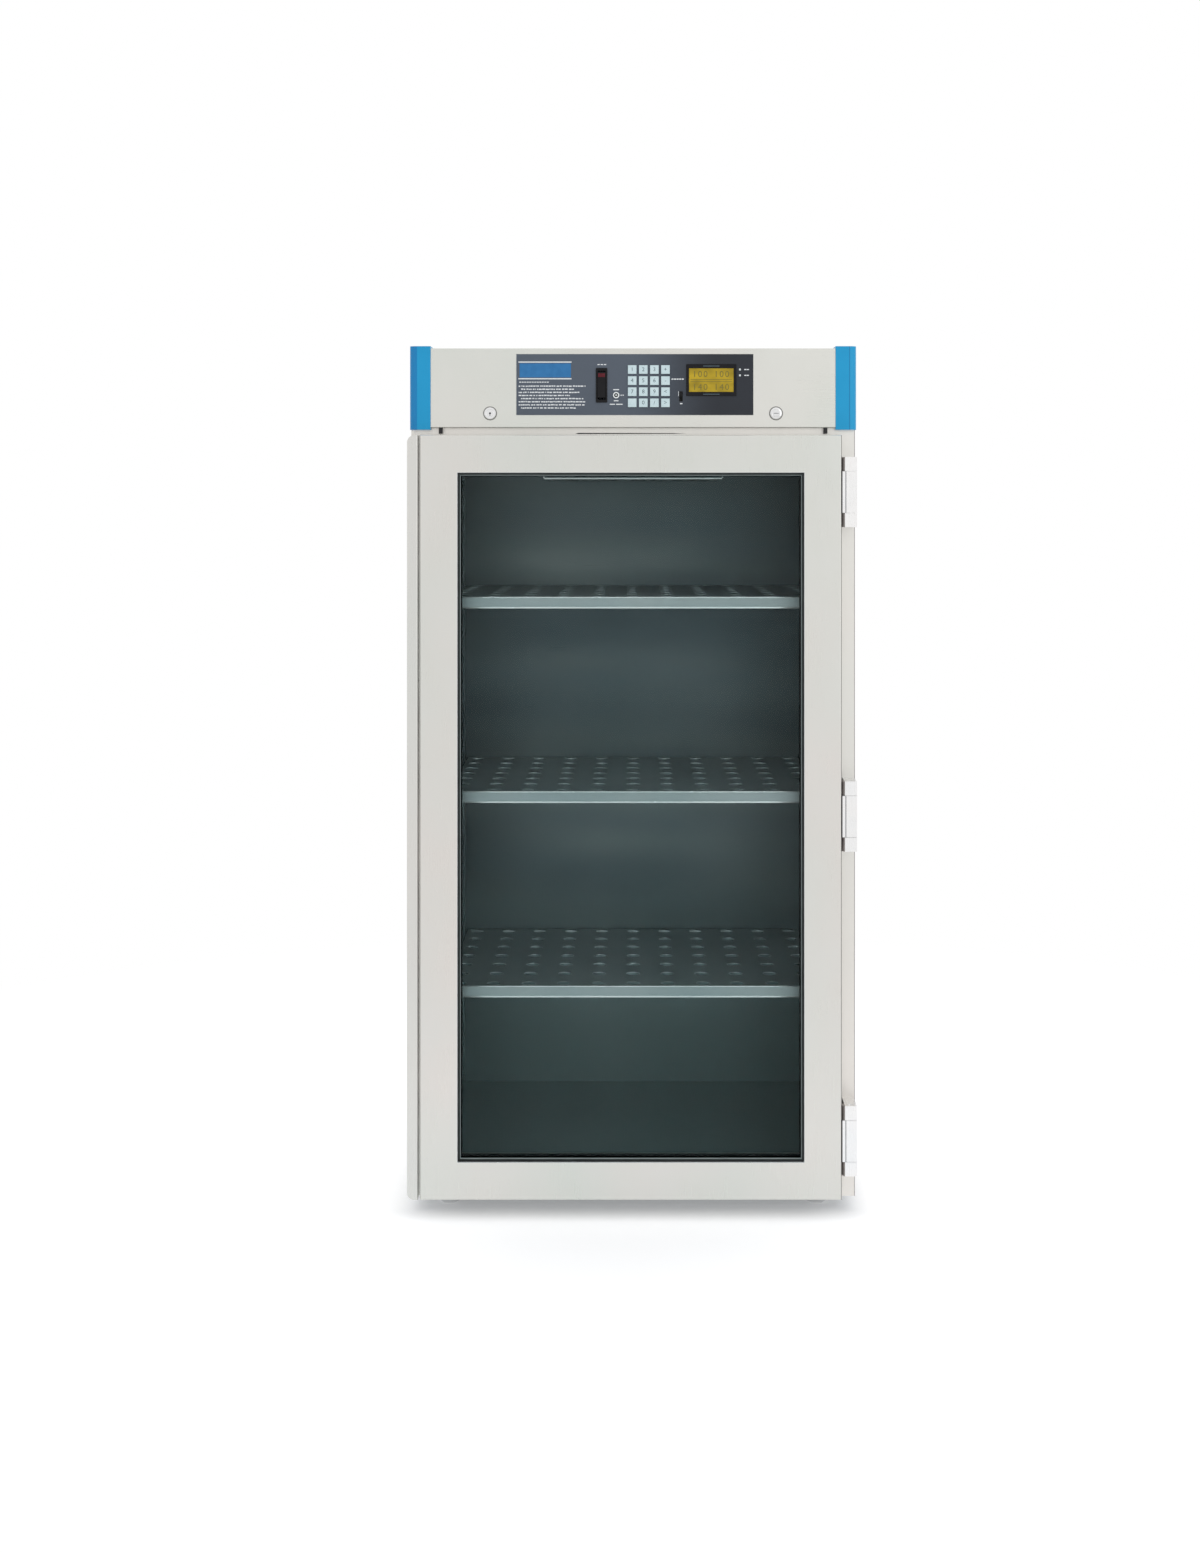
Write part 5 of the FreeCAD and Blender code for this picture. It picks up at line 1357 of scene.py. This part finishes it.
@dataclass
class Shell:
    """Body sheets, back, base, caps, feet and the chamber's fixed parts."""

    inside: float = 379.8
    low: float = 26.0
    high: float = 1477.9
    edge: float = 9.0
    supply_left: float = -291.0
    terminal_pitch: float = 18.0

    def build(self, shop: Workshop) -> None:
        """Dress every sheet and add the fasteners that hold them.

        Args:
            shop: The shared trees.
        """
        dress(BODY_SHEET, "outer_wrap", "face_frame")
        dress(ZINC, "back_panel", "base_pan")
        dress(WOOL, "wall_insulation")
        dress(CAP_PLASTIC, "corner_caps")
        dress(CHAMBER_SHEET, "chamber_liner", "pilasters", "shelf_clips")
        dress(CHROME, *(f"levelling_foot_{number}" for number in range(1, 5)))
        dress(BLACK_NYLON, "mains_inlet")
        dress(ALUMINIUM, "power_supply")
        self.back_screws(shop)
        self.terminals(shop)
        # A thin black sliver above the door's top edge: painted shade of the gap there.
        shade_sliver = [(-99, 1335.6), (-94, 1334.8), (91, 1335.4), (70, 1336.4), (-94, 1336.8)]
        Shape().plate(Axis.Y, (BODY_FACE - 0.5, BODY_FACE), shade_sliver).place(
            "door_catch_slot", BLACK_NYLON, "cabinet", "stainless")

    def back_screws(self, shop: Workshop) -> None:
        """Screws around the back panel.

        Args:
            shop: The shared trees.
        """
        across = self.inside - self.edge
        points = [(across * side, BACK_FACE - 1, self.low + 24 + 157 * number)
                  for side in (-1, 1) for number in range(10)]
        points += [(x, BACK_FACE - 1, z) for x in (-240, -80, 80, 240)
                   for z in (self.low + self.edge, self.high - self.edge)]
        shop.repeated(screw_head(Axis.Y, 4.6, 1.0), points, "back_panel_screws", "cabinet",
                      "galvanised")

    def terminals(self, shop: Workshop) -> None:
        """The supply's terminal row: walls between seven places and a screw in each of six.

        Args:
            shop: The shared trees.
        """
        walls = Shape()
        for number in range(7):
            x = self.supply_left + self.terminal_pitch * number
            walls.box((x - 1.2, -66, DECK + 18), (x + 1.2, -50.2, DECK + 24), 0.4)
        walls.place("supply_terminal_walls", BLACK_NYLON, "cabinet", "supply_case")
        points = [(self.supply_left + self.terminal_pitch * (number + 0.5), -57.5, DECK + 20)
                  for number in range(6)]
        shop.repeated(screw_head(Axis.Z, 3.2, 1.6), points, "supply_terminal_screws", "cabinet",
                      "supply_case")


# ---------------------------------------------------------------- door

@dataclass
class Door:
    """Glazed door: folded pans, sealed unit, gaskets, pull and hinges."""

    left: float = -361.0
    right: float = 353.5
    low: float = 36.4
    high: float = 1331.4
    front: float = -336.5
    back: float = -290.5
    border: float = 63.0
    inset: float = 38.0
    pivot: Point = (369.0, -326.5)
    barrel: float = 15.0

    def build(self, shop: Workshop) -> None:
        """Dress the door and add its screws, its window's trim and the hinges' barrels.

        Args:
            shop: The shared trees.
        """
        dress(FRONT_SHEET, "door_frame")
        dress(BODY_SHEET, "door_liner")
        dress(PULL_SHEET, "handle_strip")
        dress(GLASS, "door_glass")
        dress(SPACER, "glass_spacer")
        dress(GREY_RUBBER, "glazing_gasket", "door_gasket")
        dress(HINGE_STEEL, "hinge_brackets", "hinge_leaves")
        dress(CHROME, "hinge_pins")
        columns = (self.left + self.inset, self.right - self.inset)
        rows = (self.low + self.inset, self.high - self.inset)
        points = []
        for number in range(9):
            z = rows[0] + (self.high - self.low - 2 * self.inset) * number / 8
            points += [(x, self.back, z) for x in columns]
        for number in range(1, 5):
            x = columns[0] + (self.right - self.left - 2 * self.inset) * number / 5
            points += [(x, self.back, z) for z in rows]
        shop.repeated(screw_head(Axis.Y, 3.2, 1.2), points, "door_liner_screws", "door",
                      "stainless")
        self.window_trim()
        self.barrels()

    def barrels(self) -> None:
        """Pivot barrels in the open notches at both ends of each hinge."""
        x, y = self.pivot
        arc = [(x + self.barrel * math.cos(turn),
                max(self.front + 0.1, y + self.barrel * math.sin(turn)))
               for turn in (math.radians(132 + 6 * step) for step in range(17))]
        barrels = Shape()
        for level in HINGE_LEVELS:
            barrels.plate(Axis.Z, (level - 59.2, level - 35.9), arc)
            barrels.plate(Axis.Z, (level + 35.9, level + 59.2), arc)
        barrels.place("hinge_barrels", BARREL, "cabinet", "stainless")

    def window_trim(self) -> None:
        """Fold around the window in painted highlight, a black ring of painted shade in the gap
        behind it, and the bead's pale line.
        """
        fold = [(0.0, 0.0), (0.3, 0.06), (0.5, 0.25), (0.6, 0.6), (0.6, 9.0), (0.0, 9.0)]
        # Painted highlight on the fold.
        self.ring("window_fold", fold, PAINTED_HIGHLIGHT, "stainless")
        # A black ring: painted shade in the gap behind the fold.
        self.ring("window_gap", frame_outline(0.6, 2.0, 5.0, 9.0), BLACK_NYLON, "grey_rubber")
        self.ring("window_bead_line", frame_outline(4.6, 5.4, 8.0, 11.6), PALE_BEAD,
                  "grey_rubber")

    def ring(self, name: str, section: Outline, finish: Finish, slot: str) -> None:
        """Carry a section around the window as a piece, its corners mitred.

        Args:
            name: The piece's name.
            section: Distance inwards from the opening's edge and depth behind the front.
            finish: Its finish.
            slot: The material slot that it belongs to.
        """
        trim = Shape()
        rings = []
        for inward, deep in section:
            inset = self.border + inward
            rings.append([trim.mesh.verts.new((x, self.front + deep, z))
                          for x, z in frame_outline(self.left + inset, self.right - inset,
                                                    self.low + inset, self.high - inset)])
        for first, second in zip(rings, rings[1:] + rings[:1]):
            trim.band(first, second)
        trim.place(name, finish, "door", slot)


# ---------------------------------------------------------------- control header

@dataclass
class ControlPanel:
    """Fascia, printed panel, keypad, display, rocker, button, slide, lamps and locks."""

    film: float = 0.08
    signs: tuple[str, ...] = ("123+", "456-", "789<", " 0/>")
    key_pitch: float = 19.0
    key_middle: Point = (27.0, 1416.5)
    key_type: float = 9.5
    display: Point = (134.0, 1426.9)
    view_half: Point = (38.5, 20.5)
    numeral_type: float = 15.0
    rocker: Point = (-54.0, 1418.0)
    button: Point = (-29.0, 1401.0)
    lock_across: float = 245.0
    lock_level: float = 1370.0
    board_rear: float = -272.9

    def build(self, shop: Workshop) -> None:
        """Dress and detail every part of the header.

        Args:
            shop: The shared trees.
        """
        dress(HEADER_SHEET, "fascia_panel", "fascia_hinge")
        dress(PANEL, "control_overlay")
        dress(BOARD, "controller_board")
        dress(BLACK_GLOSS, "display_module", "power_rocker", "reset_button", "slide_knob")
        dress(BLACK_RUBBER, "fascia_bumpers")
        dress(CHROME, "lock_left", "lock_right")
        self.keys()
        self.screen()
        self.prints()
        self.switches()
        self.lock("left", -self.lock_across)
        self.lock("right", self.lock_across)
        self.board_parts(shop)

    def keys(self) -> None:
        """Key caps with plain numerals and signs, one print to each key."""
        for row, line in enumerate(self.signs):
            for column, sign in enumerate(line):
                name = f"key_row{row + 1}_col{column + 1}"
                dress(KEY_PLASTIC, name)
                if sign == " ":
                    continue
                middle = (self.key_middle[0] + self.key_pitch * (column - 1.5),
                          self.key_middle[1] - self.key_pitch * (row - 1.5))
                Shape().words(sign, KEY_FACE - 0.03, 0.1, self.key_type, middle).place(
                    f"{name}_print", GREY_INK, name, "key_plastic")

    def screen(self) -> None:
        """Display cell, its numerals and divider, and the bezel's pale edge marks."""
        x, z = self.display
        wide, tall = self.view_half
        front = PANEL_FACE + 0.5
        Shape().box((x - wide + 0.2, front - 0.7, z - tall + 0.2),
                    (x + wide - 0.2, front, z + tall - 0.2), 0.25, 1).place(
            "display_cell", CELL, "fascia", "black_gloss")
        marks = Shape()
        for text, up in (("100", 0.48), ("140", -0.6)):
            for across in (-0.5, 0.46):
                marks.words(text, front - 0.72, 0.06, self.numeral_type,
                            (x + wide * across, z + tall * up), 1.25)
        for level in (z - 2.6, z + 0.6):
            marks.box((x - wide + 3, front - 0.76, level),
                      (x + wide - 3, front - 0.68, level + 0.8))
        marks.place("display_segments", CELL_INK, "fascia", "black_gloss")
        bars = Shape()
        for level in (z - tall - 3.6, z + tall + 3.6):
            bars.box((x - 14, PANEL_FACE - 1.05, level - 0.5),
                     (x + 14, PANEL_FACE - 0.98, level + 0.5))
        bars.place("display_marks", GREY_INK, "fascia", "overlay_plastic")

    def rules(self, ink: Shape, *bars: tuple[float, float, float, float]) -> None:
        """Add printed bars to the panel.

        Args:
            ink: The shape that gets the bars.
            *bars: Left end, middle height, width and height of each.
        """
        for x, z, wide, tall in bars:
            ink.box((x, PANEL_FACE - self.film, z - tall / 2),
                    (x + wide, PANEL_FACE + 0.02, z + tall / 2))

    def prints(self) -> None:
        """Blank name panel with its two rules, rows of plain rules, and small marks."""
        band = Shape()
        self.rules(band, (-194.5, 1443.5, 88.0, 24.0))
        band.place("blank_band", BLUE_INK, "fascia", "overlay_plastic")
        ink = Shape()
        self.rules(ink, (-196.5, 1457.8, 91, 1.9), (-196.5, 1429.2, 91, 1.9),
                   *((-195.0 + 4.3 * number, 1423.4, 3.3, 1.5) for number in range(12)))
        chance = random.Random(7)
        for row, length in enumerate((118, 96, 104, 92, 112, 116, 116, 98)):
            start, end = -196.0 + (4 if row % 3 == 1 else 0), -196.0 + length
            while start < end - 3:
                run = min(chance.uniform(1.4, 5.5), end - start)
                level = 1416.6 - 5.35 * row + chance.uniform(-0.2, 0.2)
                self.rules(ink, (start, level, run, 2.0))
                start += run + chance.choice((0.8, 0.8, 2.0))
        x, z = self.rocker
        self.rules(ink, *((x + shift, z + 35.5, 4.0, 1.6) for shift in (-7, -1.5, 4)))
        x, z = self.button
        around = ((-5, 9.5, 10), (7.5, 0, 2.2), (11, 0, 2.2), (-4, -9.5, 8), (-11, -15.5, 9),
                  (0, -15.5, 11))
        self.rules(ink, *((x + shift, z + level, wide, 1.7) for shift, level, wide in around))
        self.rules(ink, *((65.8 + 4.4 * number, 1428.6, 3.5, 1.9) for number in range(5)))
        self.rules(ink, (80.3, 1386.6, 4.2, 1.8), (77.4, 1403.5, 0.9, 8.0))
        self.rules(ink, *((183 + shift, level, 3.6, 1.7) for level in LAMP_LEVELS
                          for shift in (7.5, 11.8)))
        ink.place("panel_rules", PALE_INK, "fascia", "overlay_plastic")

    def switches(self) -> None:
        """Rocker lens and surround, lamp lenses, slide backing and the button ring in painted
        highlight.
        """
        x, z = self.rocker
        Shape().box((x - 6.0, -292.0, z + 14.0), (x + 6.0, -291.3, z + 20.5), 0.3).place(
            "rocker_lens", RED_LENS, "power_rocker", "black_gloss")
        Shape().plate(Axis.Y, (PANEL_FACE - 1.4, PANEL_FACE), frame_outline(
            x - 9.8, x + 9.8, z - 29.6, z + 29.6, 1.6), [frame_outline(
                x - 7.0, x + 7.0, z - 25.0, z + 25.0)]).place(
            "rocker_surround", BLACK_GLOSS, "fascia", "overlay_plastic")
        lenses = Shape()
        for level in LAMP_LEVELS:
            lenses.box((181.4, -290.5, level - 1.6), (184.6, -290.0, level + 1.6), 0.2)
        lenses.place("indicator_lenses", LAMP, "fascia", "board_green")
        Shape().box((78.6, -280.6, 1390.2), (85.4, -280.0, 1407.8)).place(
            "slide_backing", BLACK_NYLON, "fascia", "board_green")
        steps = ((5.4, 0), (5.4, 1.9), (5.0, 2.2), (3.6, 2.2), (3.35, 1.9), (3.35, 0))
        # The button's ring carries a painted highlight.
        self.collar("button_ring", self.button, PANEL_FACE, steps, 32, PAINTED_HIGHLIGHT,
                    "overlay_plastic")
        Shape().turned(Axis.Y, self.button, [(1.5, -292.2), (1.5, -292.4), (1.1, -292.6)],
                       20).place("button_dot", LAMP, "reset_button", "key_plastic")

    @staticmethod
    def collar(name: str, centre: Point, base: float, steps: Outline, sides: int, finish: Finish,
               slot: str) -> None:
        """Place a raised ring on the fascia.

        Args:
            name: The piece's name.
            centre: Its middle, across and up.
            base: The face it stands on.
            steps: Radius and rise of each of its edges.
            sides: Points on each ring.
            finish: Its finish.
            slot: The material slot that it belongs to.
        """
        profile = [(radius, base - rise) for radius, rise in steps]
        Shape().turned(Axis.Y, centre, profile, sides, True).place(name, finish, "fascia", slot)

    def lock(self, name: str, x: float) -> None:
        """Domed lock face in its collar: a keyway in the left lock, a plain slot in the right.

        Args:
            name: Which lock: left or right.
            x: Its place across.
        """
        z, front, body = self.lock_level, FASCIA_FACE - 3, f"lock_{name}"
        Shape().turned(Axis.Y, (x, z), [
            (9.9, front + 0.3), (9.9, front - 0.1), (9.2, front - 0.7), (7.0, front - 1.0),
            (6.6, front - 0.75), (6.2, front - 0.75), (5.8, front - 1.05)]).place(
            f"{body}_face", CHROME, body, "chrome_parts")
        steps = ((11.9, 0), (11.9, 0.8), (11.4, 1.3), (10.7, 1.3), (10.3, 0.9), (10.3, 0))
        self.collar(f"{body}_collar", (x, z), FASCIA_FACE, steps, 48, DULL_RING, "stainless")
        keyway = Shape()
        if name == "left":
            keyway.turned(Axis.Y, (x, z), [(1.7, front - 0.9), (1.7, front - 1.12)], 16)
            keyway.box((x - 0.6, front - 1.12, z - 4.2), (x + 0.6, front - 0.9, z))
        else:
            keyway.box((x - 4.2, front - 1.1, z - 0.45), (x + 4.2, front - 0.9, z + 0.45))
        keyway.place(f"{body}_keyway", BLACK_NYLON, body, "chrome_parts")

    def board_parts(self, shop: Workshop) -> None:
        """Capacitors and chip contacts on the back of the board.

        Args:
            shop: The shared trees.
        """
        rear = self.board_rear
        cans = Shape()
        for centre in ((-10, 1448), (4, 1448), (150, 1390), (164, 1390)):
            cans.turned(Axis.Y, centre, [(4.5, rear), (4.5, rear + 9), (4.0, rear + 9.6)], 20)
        cans.place("board_capacitors", BLACK_NYLON, "fascia", "board_green")
        pins = []
        for left, right, low, high in ((-22, 2, 1412, 1422), (18, 42, 1412, 1436),
                                       (68, 98, 1408, 1424)):
            count = int((right - left) // 2.54)
            for number in range(count):
                x = left + (right - left) * (number + 0.5) / count
                pins += [(x, rear, low - 1.2), (x, rear, high + 1.2)]
        shop.repeated(Shape().box((-0.4, -0.1, -0.9), (0.4, 1.2, 0.9)), pins, "chip_contacts",
                      "fascia", "board_green", GOLD_PIN)


# ---------------------------------------------------------------- studio

@dataclass
class Studio:
    """Pale floor, white surroundings, soft lamps and the camera."""

    camera_place: Place = (0.0, -4.2285, 1.223)
    lens: float = 53.3
    shift: Point = (-0.0213, -0.1786)
    fill: float = 0.8
    target: Place = (0.0, 0.0, 0.8)
    floor_radius: float = 14.0

    def build(self) -> None:
        """Set up everything around the cabinet."""
        self.floor()
        self.world()
        self.lamp("key", (3.0, -3.4, 2.3), 4.2, 32)
        self.lamp("fill", (-3.2, -3.4, 2.4), 3.4, 8)
        self.lamp("top", (0.2, 0.5, 4.2), 4.0, 8)
        self.camera()
        bpy.context.scene.view_settings.view_transform = "Standard"

    def floor(self) -> None:
        """Wide round floor."""
        mesh = bpy.data.meshes.new("floor")
        work = bmesh.new()
        bmesh.ops.create_circle(work, cap_ends=True, segments=96, radius=self.floor_radius)
        work.to_mesh(mesh)
        work.free()
        mesh.materials.append(StudioFloor("pale studio floor").material())
        new_object("floor", mesh)

    def world(self) -> None:
        """White where it is seen or mirrored, a softer grey where it only lights."""
        world = bpy.data.worlds.new("studio")
        bpy.context.scene.world = world
        world.use_nodes = True
        tree = world.node_tree
        tree.nodes.clear()
        soft, white = (add(tree, "ShaderNodeBackground",
                           {"Strength": strength, "Color": (1, 1, 1, 1)})
                       for strength in (self.fill, 1.0))
        both = add(tree, "ShaderNodeMixShader", {0: seen_share(tree), 1: soft, 2: white})
        add(tree, "ShaderNodeOutputWorld", {"Surface": both})

    def lamp(self, name: str, place: Place, size: float, power: float) -> None:
        """Add one square soft lamp aimed at the cabinet's middle.

        Args:
            name: The lamp's name.
            place: Where it hangs, in metres.
            size: Its side in metres.
            power: Its power in watts.
        """
        light = bpy.data.lights.new(name, "AREA")
        light.shape = "SQUARE"
        light.size = size
        light.energy = power
        lamp = new_object(name, light)
        lamp.location = place
        aim = Vector(self.target) - Vector(place)
        lamp.rotation_euler = aim.to_track_quat("-Z", "Y").to_euler()

    def camera(self) -> None:
        """Level camera in front of the cabinet, near eye height."""
        data = bpy.data.cameras.new("camera")
        data.lens = self.lens
        data.shift_x, data.shift_y = self.shift
        camera = new_object("camera", data)
        camera.location = self.camera_place
        camera.rotation_euler = (math.radians(90), 0, 0)
        bpy.context.scene.camera = camera


def main() -> None:
    """Build the cabinet's classes in order, then the studio."""
    logging.basicConfig(level=logging.INFO, format="%(name)s: %(message)s")
    shop = Workshop(perforation_tree(), repeat_tree())
    Shell().build(shop)
    AirBox().build(shop)
    FanAndHeat().build(shop)
    for name, level in (("lower", 382.0), ("middle", 718.0), ("upper", 1054.0)):
        Shelf(f"shelf_{name}", level).build(shop)
    Door().build(shop)
    ControlPanel().build(shop)
    Studio().build()


if __name__ == "__main__":
    main()
